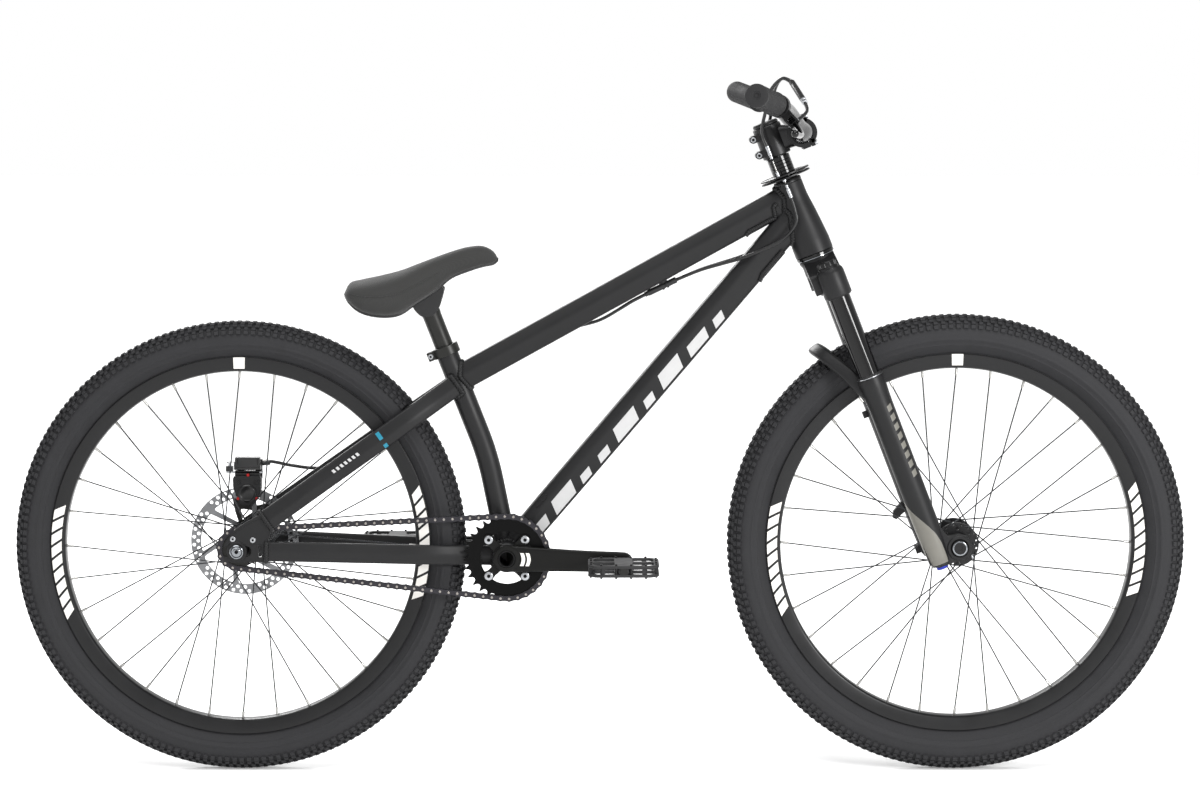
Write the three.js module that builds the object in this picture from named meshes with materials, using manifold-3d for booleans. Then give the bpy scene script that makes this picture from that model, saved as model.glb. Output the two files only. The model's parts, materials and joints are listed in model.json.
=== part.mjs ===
// Dirt jump bike: rigid frame, suspension fork, single speed drive and one rear disc brake.
// Millimetres. +X is forward, +Z is up, and the drive side faces -Y. The origin is on the ground,
// under the middle of the bike's length.
import * as THREE from 'three';
import { mergeVertices } from 'three/addons/utils/BufferGeometryUtils.js';
import Module from 'manifold-3d';

const wasm = await Module();
wasm.setup();

// Driving dimensions of the whole bike
const wheelbase = 1052;
const rimEdgeRadius = 279.5;
const rearTyreHeight = 52.5;
const frontTyreHeight = 57.5;
const headAngle = THREE.MathUtils.degToRad(21.2);
const forkRake = 41;
const bracketBeyondTyre = 60.4;
const bracketDrop = 12.5;
const gap = 0.3;
const overrun = 5;

// Wheels
const rimDepth = 21.8;
const rimWidth = 32;
const rimWall = 3;
const rearTyreWidth = 53;
const frontTyreWidth = 57;
const tyreWall = 3.4;
const spokeRadius = 1.1;
const spokesPerSide = 16;
const spokeCrossings = 3;
const spokeRimOffset = 3;
const wheelSegments = 28;

// Front hub and axle
const frontHubWidth = 110;
const frontFlangeRadius = 32;
const frontFlangeOffset = 29;
const frontShellRadius = 18;
const frontEndRadius = 14;
const frontAxleRadius = 10;
const frontAxleHeadRadius = 12;
const flangeThickness = 5;

// Rear hub, axle and rotor
const rearHubWidth = 135;
const rearFlangeRadius = 29;
const rearFlangeRight = 24;
const rearFlangeLeft = 33;
const rearShellRadius = 17;
const rearEndRadius = 11;
const rearAxleRadius = 6.7;
const axleHeadRadius = 14.5;
const axleHeadThickness = 8;
const rotorRadius = 80;
const rotorOffset = 52;
const rotorThickness = 2;
const rotorBand = 15;
const rotorCarrierRadius = 24;
const rotorArms = 6;

// Frame tubes
const headTubeBottomRadius = 28.5;
const headTubeTopRadius = 21;
const headTubeBore = 19;
const headTubeBeyondTyre = 136;
const headTubeLength = 109;
const topTubeDepth = 39;
const topTubeWidth = 33;
const topTubeHeadRise = 91;
const topTubeSeatRise = 121;
const downTubeDepth = 43;
const downTubeWidth = 40;
const downTubeHeadRise = 64;
const tubeWall = 2.4;
const seatAngle = THREE.MathUtils.degToRad(21.46);
const seatTubeRadius = 16;
const seatTubeStraight = 173.6;
const seatBendBack = 29;
const seatBendRise = 145;
const seatFootBack = 11;
const seatFootRise = 57;
const shellRadius = 21;
const shellWidth = 73;
const chainstayDepth = 29;
const chainstayWidth = 13;
const seatstayDepth = 31;
const seatstayWidth = 14;
const stayWall = 2;
const dropoutThickness = 6;
const dropoutLength = 74.3;
const dropoutHeight = 69.9;
const dropoutBack = 19.8;
const dropoutBelow = 15.7;
const dropoutSlotHeight = 15.5;
const dropoutSlotFront = 21;
const clampWall = 4;
const clampHeight = 14;

// Fork
const stanchionRadius = 16;
const legSpacing = 130;
const legForward = 8;
const lowerLegRadius = 18.5;
const lowerLegBelowTyre = 58;
const lowerLegFoot = 18;
const stanchionFoot = 140;
const legBoreFoot = 28;
const crownBossDrop = 25;
const crownBossHeight = 43;
const crownBossRadius = 19;
const crownDrop = 33;
const crownFront = 26;
const crownBack = 22;
const archClearance = 4;
const archBack = 50;
const archWidth = 20;
const archDepth = 13;
const axleClampRadius = 19;
const footThickness = 19;

// Headset, cable rotor and stem
const steererRadius = 14.3;
const cupWall = 7;
const spacerRadius = 17;
const rotorPlateRadius = 37.5;
const rotorPlateThickness = 2.5;
const rotorPlateLift = 1.4;
const rotorPlateSpacing = 2;
const rotorPlateTravel = 8;
const wireSocketRadius = 2.2;
const wireSocketHeight = 7;
const cableReach = 30;
const cableTabThickness = 3;
const cableTabWidth = 14;
const lowerCableForward = -4;
const upperCableForward = -10;
const stemRise = 43;
const stemHeight = 47;
const stemRadius = 21;
const stemReach = 45;
const stemWidth = 52;
const stemClampDrop = 4;
const stemNeckWidth = 38;
const stemNeckHeight = 36;
const stemLugBack = 25;
const stemLugRadius = 5.5;
const stemLugLength = 30;
const stemLugShares = [0.22, 0.74];
const capRadius = 19;
const capThickness = 6;
const wireRadius = 0.8;
const cableRadius = 2.5;
const barrelRadius = 4.5;
const adjusterRadius = 3.2;
const adjusterLength = 20;
const adjusterLap = 2;
const upperCableSpread = 3;
const clipShare = 0.35;

// Cable places near the stem: rise above its foot, reach ahead of the steering axis, share of leverOffset
const upperSplit = [[61.5, 58.2, 0.732], [95.8, 53.2, 0.488]];
const leverRoute = [[50.4, 55.7, 0.795]];
const upperRoutes = [
  [[104.5, 43.5, 0.434], [95.9, 24.1, 0.356], [68, 4.7, 0.278]],
  [[104.1, 44.4, 0.351], [94.9, 32.2, 0.146], [72.1, 19.1, -0.039], [46.5, 4.9, -0.132]],
];

// Cable places near the head tube: rise above its foot, reach ahead of its axis, place across the bike
const lowerHeadRoute = [[69.5, -5.5, 31.5], [55.7, -8.7, 33], [43.7, -21.9, 32.5], [36.5, -40.8, 31]];

// Cable places along the top tube or a seatstay: share of its length, offset above it, place across
const lowerTubeRoute = [
  [0.8568, -47.4, 27], [0.8015, -43.7, 20], [0.7468, -37, 11], [0.6938, -30.9, 4], [0.62, -26.4, 0.5],
];
const lowerSplit = [[0.6271, -26.6, 0], [0.5371, -23.9, 0]];
const rearTubeRoute = [
  [0.4995, -23.3, 1.5], [0.4627, -24.5, 6], [0.4019, -25.1, 14], [0.3473, -18.5, 20], [0.2589, -4.8, 20],
  [0.1393, -2.1, 20.5], [0.0466, -3.1, 22],
];
const rearStayRoute = [
  [0.9729, -0.2, 26.5], [0.8694, 0.2, 35], [0.7683, 0, 46], [0.6704, 0.2, 54], [0.4897, 0.7, 61],
  [0.3261, 3.3, 67], [0.2521, 16.1, 69], [0.1748, 39.5, 68.5],
];

// Handlebar, grips and lever
const barHalfWidth = 368;
const barRise = 81.4;
const barSetback = 55;
const barRadius = 11.1;
const barClampRadius = 15.9;
const barClampWall = 5.5;
const gripLength = 135;
const gripRadius = 16.5;
const gripPlug = 3;
const leverTilt = THREE.MathUtils.degToRad(67);
const leverFromBarEnd = 163;
const leverClampWidth = 15;
const leverPivotReach = 34;
const leverPinRadius = 2.5;
const leverBossRadius = 6;
const leverReach = 68;
const leverLength = 122;
const leverThickness = 9;
const leverBladeDepth = 7.2;
const leverTipRadius = 5.4;
const perchWall = 3;
const perchReach = 40;
const perchSlotStart = 24;
const perchBarrelLength = 15;
const perchBarrelRadius = 4.5;

// Drive
const chainPitch = 12.7;
const ringTeeth = 30;
const cogTeeth = 14;
const chainLine = 45;
const chainPlateHeight = 8.4;
const chainPlateThickness = 1.6;
const chainInnerWidth = 4.6;
const chainPinRadius = 2;
const toothHeight = 3.4;
const sprocketThickness = 2.8;
const crankLength = 170;
const crankDrop = THREE.MathUtils.degToRad(1.2);
const crankBossRadius = 19.5;
const crankEndRadius = 14.5;
const crankHubRadius = 17.5;
const crankThickness = 15;
const crankFlare = 12;
const spindleRadius = 12;
const ringBoltCircle = 37.6;
const ringBore = 29;
const spiderWidth = 13;
const spiderThickness = 4.6;
const spiderArms = 4;
const ringInnerWall = 4;
const ringOuterWall = 14;
const ringWindowShares = [0.24, 0.29];
const pedalLength = 102;
const pedalWidth = 95;
const pedalThickness = 17;
const pedalWall = 7;
const pedalBarrelHalf = 11;
const pedalAxleRadius = 5;
const pedalSpacing = 5;

// Seat
const postRadius = 13.6;
const postInsertion = 105;
const postRise = 64;
const postHeadRadius = 15;
const postHeadWidth = 27;
const saddleLength = 224;
const saddleWidth = 145;
const saddleHeight = 102;
const saddleRearFromHead = 121;
const saddleBelowHead = 14.5;
const saddleBaseThickness = 8;
const saddleBaseShare = 0.86;
const saddleHollowShare = 0.88;
const saddleWaistShare = 0.42;
const saddleTuckShare = 0.3;
const saddleRoundShares = [0.7, 0.6];

// Brake caliper
const caliperLength = 42;
const caliperHeight = 44;
const caliperWidth = 25;
const caliperSlot = 5;
const caliperForward = 5;
const caliperRise = 76;
const caliperFaceRadius = 13;
const caliperFaceDepth = 4;
const caliperFootGap = 8;
const caliperStopLength = 10;
const caliperStopWidth = 11;
const caliperStopRise = 28.6;
const caliperArmLength = 32;
const caliperArmThickness = 4;
const caliperArmRadius = 8;
const caliperArmEndRadius = 5;
const caliperArmRise = 8.8;
const caliperCableRise = 41;
const caliperCableAside = 2;
const caliperCableRun = 12.5;

// Places that follow from the sizes above
const rearTyreRadius = rimEdgeRadius + rearTyreHeight;
const frontTyreRadius = rimEdgeRadius + frontTyreHeight;
const rimInnerRadius = rimEdgeRadius - rimDepth;
const bracketForward = rearTyreRadius + bracketBeyondTyre;
const bracketHeight = rearTyreRadius - bracketDrop;
const headTubeStart = frontTyreRadius + headTubeBeyondTyre;
const headTubeEnd = headTubeStart + headTubeLength;
const lowerLegTop = frontTyreRadius - lowerLegBelowTyre;
const archRise = frontTyreRadius + archClearance;
const crownBossEnd = headTubeStart - crownBossDrop;
const crownBossStart = crownBossEnd - crownBossHeight;
const crownRise = headTubeStart - crownDrop;
const stemStart = headTubeEnd + stemRise;
const leverOffset = barHalfWidth - leverFromBarEnd;
const overallLength = wheelbase + rearTyreRadius + frontTyreRadius;
const rearAxleX = rearTyreRadius - overallLength / 2;
const frontAxleX = rearAxleX + wheelbase;
const bracketX = rearAxleX + bracketForward;
const steeringUp = point(-Math.sin(headAngle), 0, Math.cos(headAngle));
const steeringForward = point(Math.cos(headAngle), 0, Math.sin(headAngle));
const steeringFoot = point(frontAxleX, 0, frontTyreRadius).addScaledVector(steeringForward, -forkRake);
const legOffset = legSpacing / 2;
const ringRadius = chainPitch / (2 * Math.sin(Math.PI / ringTeeth));
const cogRadius = chainPitch / (2 * Math.sin(Math.PI / cogTeeth));
const right = -1;
const left = 1;

const bike = new THREE.Group();
const steering = new THREE.Group();
steering.position.copy(steeringFoot);
steering.rotation.y = -headAngle;
bike.add(steering);

// Points, solids and finishes

function point(x, y, z) {
  return new THREE.Vector3(x, y, z);
}

// A point beside the steering axis: how far along it, ahead of it and across the bike
function onSteering(along, forward, across) {
  const place = steeringFoot.clone().addScaledVector(steeringUp, along);
  place.addScaledVector(steeringForward, forward);
  place.y = across;
  return place;
}

function finish(color, roughness, metalness) {
  return new THREE.MeshStandardMaterial({ color, roughness, metalness });
}

function signedVolume(positions, triangles) {
  const a = point(0, 0, 0);
  const b = point(0, 0, 0);
  const c = point(0, 0, 0);
  let volume = 0;
  for (let i = 0; i < triangles.length; i += 3) {
    a.fromArray(positions, 3 * triangles[i]);
    b.fromArray(positions, 3 * triangles[i + 1]);
    c.fromArray(positions, 3 * triangles[i + 2]);
    volume += a.dot(b.cross(c));
  }
  return volume;
}

// A closed geometry as a solid, with its shared corners merged and its faces turned outwards
function solid(geometry) {
  const bare = geometry.clone();
  bare.deleteAttribute('normal');
  bare.deleteAttribute('uv');
  const merged = mergeVertices(bare);
  const positions = merged.attributes.position.array;
  const source = merged.index.array;
  const triangles = [];
  for (let i = 0; i < source.length; i += 3) {
    const [a, b, c] = [source[i], source[i + 1], source[i + 2]];
    if (a !== b && b !== c && c !== a) {
      triangles.push(a, b, c);
    }
  }
  if (signedVolume(positions, triangles) < 0) {
    triangles.reverse();
  }
  const mesh = new wasm.Mesh({
    numProp: 3,
    vertProperties: new Float32Array(positions),
    triVerts: new Uint32Array(triangles),
  });
  return new wasm.Manifold(mesh);
}

function join(...geometries) {
  return geometries.map(solid).reduce((whole, piece) => whole.add(piece));
}

function cut(body, ...tools) {
  return tools.map(solid).reduce((rest, tool) => rest.subtract(tool), body);
}

function asGeometry(body) {
  const mesh = body.getMesh();
  const geometry = new THREE.BufferGeometry();
  geometry.setAttribute('position', new THREE.BufferAttribute(new Float32Array(mesh.vertProperties), 3));
  geometry.setIndex(new THREE.BufferAttribute(new Uint32Array(mesh.triVerts), 1));
  geometry.computeVertexNormals();
  return geometry;
}

function add(parent, name, body, material) {
  const piece = new THREE.Mesh(asGeometry(body), material);
  piece.name = name;
  parent.add(piece);
}

// Stands a geometry made about the Y axis on a point, along a direction
function stand(geometry, foot, direction) {
  geometry.applyQuaternion(new THREE.Quaternion().setFromUnitVectors(point(0, 1, 0), direction));
  return geometry.translate(foot.x, foot.y, foot.z);
}

// A round bar between two points
function rod(from, to, radius, sides = 14) {
  const line = to.clone().sub(from);
  const geometry = new THREE.CylinderGeometry(radius, radius, line.length(), sides);
  return stand(geometry, from.clone().add(to).multiplyScalar(1 / 2), line.normalize());
}

// A round bar across the bike
function crossRod(x, z, from, to, radius, sides = 14) {
  return rod(point(x, from, z), point(x, to, z), radius, sides);
}

// An upright round bar
function post(x, y, from, to, radius, sides = 14) {
  return rod(point(x, y, from), point(x, y, to), radius, sides);
}

// The corner radius of a many-sided hole whose flats clear a round bar
function clearing(radius, sides) {
  return radius / Math.cos(Math.PI / sides);
}

function bore(from, to, radius, sides = 14) {
  return rod(from, to, clearing(radius, sides), sides);
}

function crossBore(x, z, from, to, radius, sides = 14) {
  return crossRod(x, z, from, to, clearing(radius, sides), sides);
}

function postBore(x, y, from, to, radius, sides = 14) {
  return post(x, y, from, to, clearing(radius, sides), sides);
}

// A box between two corners
function block(low, high) {
  const size = high.clone().sub(low);
  const middle = low.clone().add(high).multiplyScalar(1 / 2);
  return new THREE.BoxGeometry(size.x, size.y, size.z).translate(middle.x, middle.y, middle.z);
}

// A plate that stands fore and aft: its outline is in x and z, its thickness across the bike
function plate(outline, from, to, holes = []) {
  const shape = new THREE.Shape(outline.map(([x, z]) => new THREE.Vector2(x, z)));
  for (const hole of holes) {
    shape.holes.push(new THREE.Path(hole.map(([x, z]) => new THREE.Vector2(x, z))));
  }
  const geometry = new THREE.ExtrudeGeometry(shape, { depth: to - from, bevelEnabled: false });
  return geometry.rotateX(Math.PI / 2).translate(0, to, 0);
}

// A plate seen from ahead: its outline is in y and z, its thickness fore and aft
function facingPlate(outline, from, to) {
  const shape = new THREE.Shape(outline.map(([y, z]) => new THREE.Vector2(y, z)));
  const geometry = new THREE.ExtrudeGeometry(shape, { depth: to - from, bevelEnabled: false });
  const turn = new THREE.Matrix4().makeBasis(point(0, 1, 0), point(0, 0, 1), point(1, 0, 0));
  return geometry.applyMatrix4(turn).translate(from, 0, 0);
}

function arc(x, z, radius, start, end, count) {
  return Array.from({ length: count + 1 }, (_, i) => {
    const angle = start + ((end - start) * i) / count;
    return [x + radius * Math.cos(angle), z + radius * Math.sin(angle)];
  });
}

function circle(x, z, radius, count) {
  return arc(x, z, radius, 0, 2 * Math.PI, count).slice(0, count);
}

// The outline of a band round two circles, from the upper tangent point of the first
function belt(first, firstRadius, second, secondRadius, firstCount, secondCount) {
  const lean = Math.atan2(second.z - first.z, second.x - first.x);
  const distance = Math.hypot(second.x - first.x, second.z - first.z);
  const spread = Math.PI / 2 + Math.asin((secondRadius - firstRadius) / distance);
  const back = arc(first.x, first.z, firstRadius, lean + spread, lean + 2 * Math.PI - spread, firstCount);
  const front = arc(second.x, second.z, secondRadius, lean - spread, lean + spread, secondCount);
  return [...back, ...front];
}

function ovalSection(across, deep, sides, wall = 0) {
  const ring = (a, b) => Array.from({ length: sides }, (_, i) => {
    const angle = (2 * Math.PI * (i + 1 / 2)) / sides;
    return new THREE.Vector2(a * Math.cos(angle), b * Math.sin(angle));
  });
  const shape = new THREE.Shape(ring(across / 2, deep / 2));
  if (wall > 0) {
    const inner = [across, deep].map((size) => clearing(size / 2 - wall, sides));
    shape.holes.push(new THREE.Path(ring(...inner)));
  }
  return shape;
}

function sweep(path, section, steps) {
  return new THREE.ExtrudeGeometry(section, { extrudePath: path, steps, bevelEnabled: false });
}

function smooth(points) {
  return new THREE.CatmullRomCurve3(points, false, 'centripetal');
}

// Straight runs with a rounded bend at each inner point, which takes its share of the shorter run
function bent(points, bendShare) {
  const path = new THREE.CurvePath();
  let from = points[0];
  for (let i = 1; i < points.length - 1; i += 1) {
    const run = Math.min(points[i].distanceTo(points[i - 1]), points[i].distanceTo(points[i + 1]));
    const enter = points[i].clone().sub(points[i - 1]).setLength(run * bendShare);
    const leave = points[i + 1].clone().sub(points[i]).setLength(run * bendShare);
    const start = points[i].clone().sub(enter);
    const end = points[i].clone().add(leave);
    path.add(new THREE.LineCurve3(from, start));
    path.add(new THREE.QuadraticBezierCurve3(start, points[i], end));
    from = end;
  }
  path.add(new THREE.LineCurve3(from, points[points.length - 1]));
  return path;
}

// A body of revolution about the Y axis, from radius and place along the axis
function turned(profile, segments = wheelSegments) {
  return new THREE.LatheGeometry(profile.map(([r, y]) => new THREE.Vector2(r, y)), segments);
}

function closed(profile) {
  return [...profile, profile[0]];
}

function collar(inner, outer, from, to, segments = 14) {
  const hole = clearing(inner, segments);
  return turned(closed([[hole, from], [outer, from], [outer, to], [hole, to]]), segments);
}

// A collar about the steering axis
function steeringCollar(inner, outer, from, to, segments = 14) {
  return stand(collar(inner, outer, from, to, segments), point(0, 0, 0), point(0, 0, 1));
}

function mirrored(outline) {
  return [...outline, ...outline.map(([r, y]) => [r, -y]).reverse()];
}

const black = () => finish(0x242425, 0.55, 0.3);
const rubber = () => finish(0x2b2b2c, 0.9, 0);
const steel = () => finish(0xb8babc, 0.3, 1);
const plastic = () => finish(0x2e2e2f, 0.6, 0);

// Wheels: tyre, rim and laced spokes

const tyreOuterShares = [[0.4, 0.97], [0.76, 0.94], [1, 0.3]];
const tyreInnerShares = [[0.85, 0.7]];

function tyreBody(outerRadius, width) {
  const bead = rimEdgeRadius - rimWall;
  const rise = outerRadius - bead;
  const half = width / 2;
  const beadHalf = rimWidth / 2 - rimWall - gap;
  const outside = tyreOuterShares.map(([height, side]) => [bead + rise * height, half * side]);
  const inside = tyreInnerShares.map(([height, side]) => [
    bead + (rise - tyreWall) * height, (half - tyreWall) * side,
  ]);
  const foot = [[bead, beadHalf - tyreWall], [bead, beadHalf], [rimEdgeRadius + gap, beadHalf]];
  return solid(turned(closed(mirrored([...inside, ...foot, ...outside]))));
}

function rimBody() {
  const half = rimWidth / 2;
  return solid(turned(closed(mirrored([
    [rimInnerRadius, half - 2 * rimWall],
    [rimEdgeRadius, half],
    [rimEdgeRadius, half - rimWall / 2],
    [rimInnerRadius + 2 * rimWall, half - 3 * rimWall],
  ]))));
}

// Spokes are laced flat, then dished from the flange to the middle of the rim
function spokeBody(flangeRadius, flangeOffset, side, halfStep) {
  const step = (2 * Math.PI) / spokesPerSide;
  const root = flangeRadius + spokeRadius + gap;
  const reach = rimInnerRadius * Math.cos(Math.PI / wheelSegments) - spokeRadius / 4 - gap;
  const spokes = Array.from({ length: spokesPerSide }, (_, k) => {
    const rimAngle = (k + halfStep) * step;
    const lead = k % 2 === 0 ? 1 : -1;
    const hubAngle = rimAngle + lead * spokeCrossings * step;
    const from = point(root * Math.cos(hubAngle), 0, root * Math.sin(hubAngle));
    const to = point(reach * Math.cos(rimAngle), 0, reach * Math.sin(rimAngle));
    const length = from.distanceTo(to);
    const turn = Math.atan2(to.z - from.z, to.x - from.x);
    return block(point(0, -spokeRadius, -spokeRadius), point(length, spokeRadius, spokeRadius))
      .rotateY(-turn).translate(from.x, 0, from.z);
  });
  return join(...spokes).warp((place) => {
    const out = (Math.hypot(place[0], place[2]) - root) / (reach - root);
    place[1] += side * (flangeOffset + (spokeRimOffset - flangeOffset) * out);
  });
}

function wheel(name, axle, tyreRadius, width, flangeRadius, rightFlange, leftFlange) {
  const group = new THREE.Group();
  group.position.copy(axle);
  bike.add(group);
  add(group, `${name}_tyre`, tyreBody(tyreRadius, width), rubber());
  add(group, `${name}_rim`, rimBody(), black());
  add(group, `${name}_spokes_right`, spokeBody(flangeRadius, rightFlange, right, 0), steel());
  add(group, `${name}_spokes_left`, spokeBody(flangeRadius, leftFlange, left, 1 / 2), steel());
  return group;
}

function flange(radius, middle) {
  return [[radius, middle - flangeThickness / 2], [radius, middle + flangeThickness / 2]];
}

// A flange with the hub's shell on both sides of it
function flangeStep(radius, shell, middle) {
  return [[shell, middle - flangeThickness], ...flange(radius, middle), [shell, middle + flangeThickness]];
}

const rearAxle = point(rearAxleX, 0, rearTyreRadius);
const frontAxle = point(frontAxleX, 0, frontTyreRadius);

const frontWheel = wheel(
  'front', frontAxle, frontTyreRadius, frontTyreWidth,
  frontFlangeRadius, frontFlangeOffset, frontFlangeOffset,
);
const frontHubEnd = frontHubWidth / 2 - gap;
add(frontWheel, 'front_hub', solid(turned(closed([
  [frontAxleRadius + gap, -frontHubEnd],
  [frontEndRadius, -frontHubEnd],
  [frontEndRadius, -frontFlangeOffset - flangeThickness],
  ...flangeStep(frontFlangeRadius, frontShellRadius, -frontFlangeOffset),
  ...flangeStep(frontFlangeRadius, frontShellRadius, frontFlangeOffset),
  [frontEndRadius, frontFlangeOffset + flangeThickness],
  [frontEndRadius, frontHubEnd],
  [frontAxleRadius + gap, frontHubEnd],
]), 14)), black());

const rearWheel = wheel(
  'rear', rearAxle, rearTyreRadius, rearTyreWidth,
  rearFlangeRadius, rearFlangeRight, rearFlangeLeft,
);
const rearHubEnd = rearHubWidth / 2 - gap;
const rotorFace = rotorOffset - rotorThickness / 2 - gap;
add(rearWheel, 'rear_hub', solid(turned(closed([
  [rearAxleRadius + gap, -rearHubEnd],
  [rearEndRadius, -rearHubEnd],
  [rearEndRadius, -chainLine - 2 * flangeThickness],
  [rearShellRadius, -chainLine - 2 * flangeThickness],
  ...flangeStep(rearFlangeRadius, rearShellRadius, -rearFlangeRight),
  ...flangeStep(rearFlangeRadius, rearShellRadius, rearFlangeLeft),
  [rotorCarrierRadius, rotorFace - flangeThickness],
  [rotorCarrierRadius, rotorFace],
  [rearEndRadius, rotorFace],
  [rearEndRadius, rearHubEnd],
  [rearAxleRadius + gap, rearHubEnd],
]), 14)), black());

// Brake rotor: a drilled band on six arms
const rotorArmTurn = (2 * Math.PI) / rotorArms;
const windowInner = rotorCarrierRadius + gap;
const windowOuter = rotorRadius - rotorBand;
const rotorWindowShares = [0.62, 0.5, 1.25];
const rotorHoles = [circle(0, 0, clearing(rearEndRadius + gap, 14), 14)];
for (let k = 0; k < rotorArms; k += 1) {
  const start = k * rotorArmTurn;
  const [innerEnd, outerStart, outerEnd] = rotorWindowShares.map((share) => start + rotorArmTurn * share);
  const inside = arc(0, 0, windowInner, start, innerEnd, 2);
  const outside = arc(0, 0, windowOuter, outerStart, outerEnd, 3);
  rotorHoles.push([...inside, ...outside.reverse()]);
}
const rotorFrom = rotorOffset - rotorThickness / 2;
add(rearWheel, 'brake_rotor', solid(
  plate(circle(0, 0, rotorRadius, 32), rotorFrom, rotorFrom + rotorThickness, rotorHoles),
), steel());

// Frame: main tubes

const bracket = point(bracketX, 0, bracketHeight);
const seatBend = point(bracketX - seatBendBack, 0, bracketHeight + seatBendRise);
const seatUp = point(-Math.sin(seatAngle), 0, Math.cos(seatAngle));
const seatTop = seatBend.clone().addScaledVector(seatUp, seatTubeStraight);
const topTubeRear = seatBend.clone().addScaledVector(seatUp, topTubeSeatRise);
const topTubeFront = onSteering(headTubeStart + topTubeHeadRise, 0, 0);
const downTubeFront = onSteering(headTubeStart + downTubeHeadRise, 0, 0);
const headProfileShares = [[1, 0], [1, 0.16], [0.35, 0.62], [0, 0.8], [0, 1]];

function headTubeBlank(extra) {
  const swell = headTubeBottomRadius - headTubeTopRadius;
  const outside = headProfileShares.map(([bulge, along]) => [
    headTubeTopRadius + swell * bulge + extra, headTubeStart + headTubeLength * along,
  ]);
  const profile = [[0, headTubeStart], ...outside, [0, headTubeEnd]];
  return stand(turned(profile, 20), steeringFoot, steeringUp);
}

function straightTube(from, to, width, depth, wall, sides = 12) {
  return sweep(new THREE.LineCurve3(from, to), ovalSection(width, depth, sides, wall), 1);
}

const headBore = bore(
  onSteering(headTubeStart - overrun, 0, 0), onSteering(headTubeEnd + overrun, 0, 0), headTubeBore,
);
const headSpace = headTubeBlank(gap);
const headEndSpace = bore(
  onSteering(headTubeEnd - overrun, 0, 0), onSteering(headTubeEnd + headTubeTopRadius, 0, 0),
  headTubeTopRadius + gap, 20,
);
const seatSpace = bore(
  seatBend.clone(), seatTop.clone().addScaledVector(seatUp, overrun), seatTubeRadius + gap,
);
const shellSpace = crossBore(bracketX, bracketHeight, -shellWidth, shellWidth, shellRadius + gap, 22);
const topTubeSpace = straightTube(
  topTubeRear, topTubeFront, topTubeWidth + 2 * gap, topTubeDepth + 2 * gap, 0,
);
const downTubeSpace = straightTube(
  bracket, downTubeFront, downTubeWidth + 2 * gap, downTubeDepth + 2 * gap, 0,
);

add(bike, 'head_tube', cut(solid(headTubeBlank(0)), headBore), black());
add(bike, 'top_tube', cut(
  solid(straightTube(topTubeRear, topTubeFront, topTubeWidth, topTubeDepth, tubeWall)),
  headSpace, headEndSpace, seatSpace,
), black());
add(bike, 'down_tube', cut(
  solid(straightTube(bracket, downTubeFront, downTubeWidth, downTubeDepth, tubeWall)),
  headSpace, shellSpace, topTubeSpace,
), black());

const seatFoot = point(bracketX - seatFootBack, 0, bracketHeight + seatFootRise);
const seatBendShare = 0.4;
const seatPath = bent([seatTop, seatBend, seatFoot, bracket], seatBendShare);
const seatTubeWidth = 2 * seatTubeRadius;
const seatTubeWall = seatTubeRadius - postRadius - gap;
add(bike, 'seat_tube', cut(
  solid(sweep(seatPath, ovalSection(seatTubeWidth, seatTubeWidth, 10, seatTubeWall), 7)),
  shellSpace, downTubeSpace,
), black());
add(bike, 'bottom_bracket_shell', cut(
  solid(crossRod(bracketX, bracketHeight, -shellWidth / 2, shellWidth / 2, shellRadius, 22)),
  crossBore(bracketX, bracketHeight, -shellWidth, shellWidth, spindleRadius + gap),
), black());

const clampRadius = seatTubeRadius + clampWall;
const clampStart = seatTop.clone().addScaledVector(seatUp, -clampHeight);
const clampRing = stand(
  collar(seatTubeRadius + gap, clampRadius, 0, clampHeight), clampStart, seatUp,
);
const clampEar = block(
  point(-clampRadius - 2 * clampWall, -clampRadius / 2, gap),
  point(-seatTubeRadius, clampRadius / 2, clampHeight - gap),
).rotateY(-seatAngle).translate(clampStart.x, 0, clampStart.z);
add(bike, 'seat_clamp', cut(solid(clampEar), seatSpace).add(solid(clampRing)), black());

// Frame: rear dropouts and stays

const dropoutShares = [
  [0, 0], [0.84, 0], [0.84, 0.31], [0.9, 0.52], [1, 0.83], [0.74, 1], [0.43, 0.83],
  [0.24, 0.69], [0.1, 0.5], [0, 0.31],
];
const stayEndShares = [0.84, 0.86];
const dropoutInner = rearHubWidth / 2;
const dropoutRearX = rearAxleX - dropoutBack;
const dropoutFootZ = rearTyreRadius - dropoutBelow;

function dropoutOutline() {
  return dropoutShares.map(([x, z]) => [
    dropoutRearX + dropoutLength * x, dropoutFootZ + dropoutHeight * z,
  ]);
}

function dropout(side) {
  const from = Math.min(side * dropoutInner, side * (dropoutInner + dropoutThickness));
  const slotFront = rearAxleX + dropoutSlotFront - dropoutSlotHeight / 2;
  const slot = block(
    point(rearAxleX - dropoutLength, from - overrun, rearTyreRadius - dropoutSlotHeight / 2),
    point(slotFront, from + dropoutThickness + overrun, rearTyreRadius + dropoutSlotHeight / 2),
  );
  const slotEnd = crossRod(
    slotFront, rearTyreRadius, from - overrun, from + dropoutThickness + overrun, dropoutSlotHeight / 2,
  );
  return cut(solid(plate(dropoutOutline(), from, from + dropoutThickness)), slot, slotEnd);
}

function dropoutSpace(side) {
  const from = Math.min(side * dropoutInner, side * (dropoutInner + dropoutThickness));
  return plate(dropoutOutline(), from - gap, from + dropoutThickness + gap);
}

// Each stay is a line of places: share of its length, and offset across the bike
function stayPath(start, end, shares, side) {
  return smooth(shares.map(([along, across]) => {
    const place = start.clone().lerp(end, along);
    place.y = side * across;
    return place;
  }));
}

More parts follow.
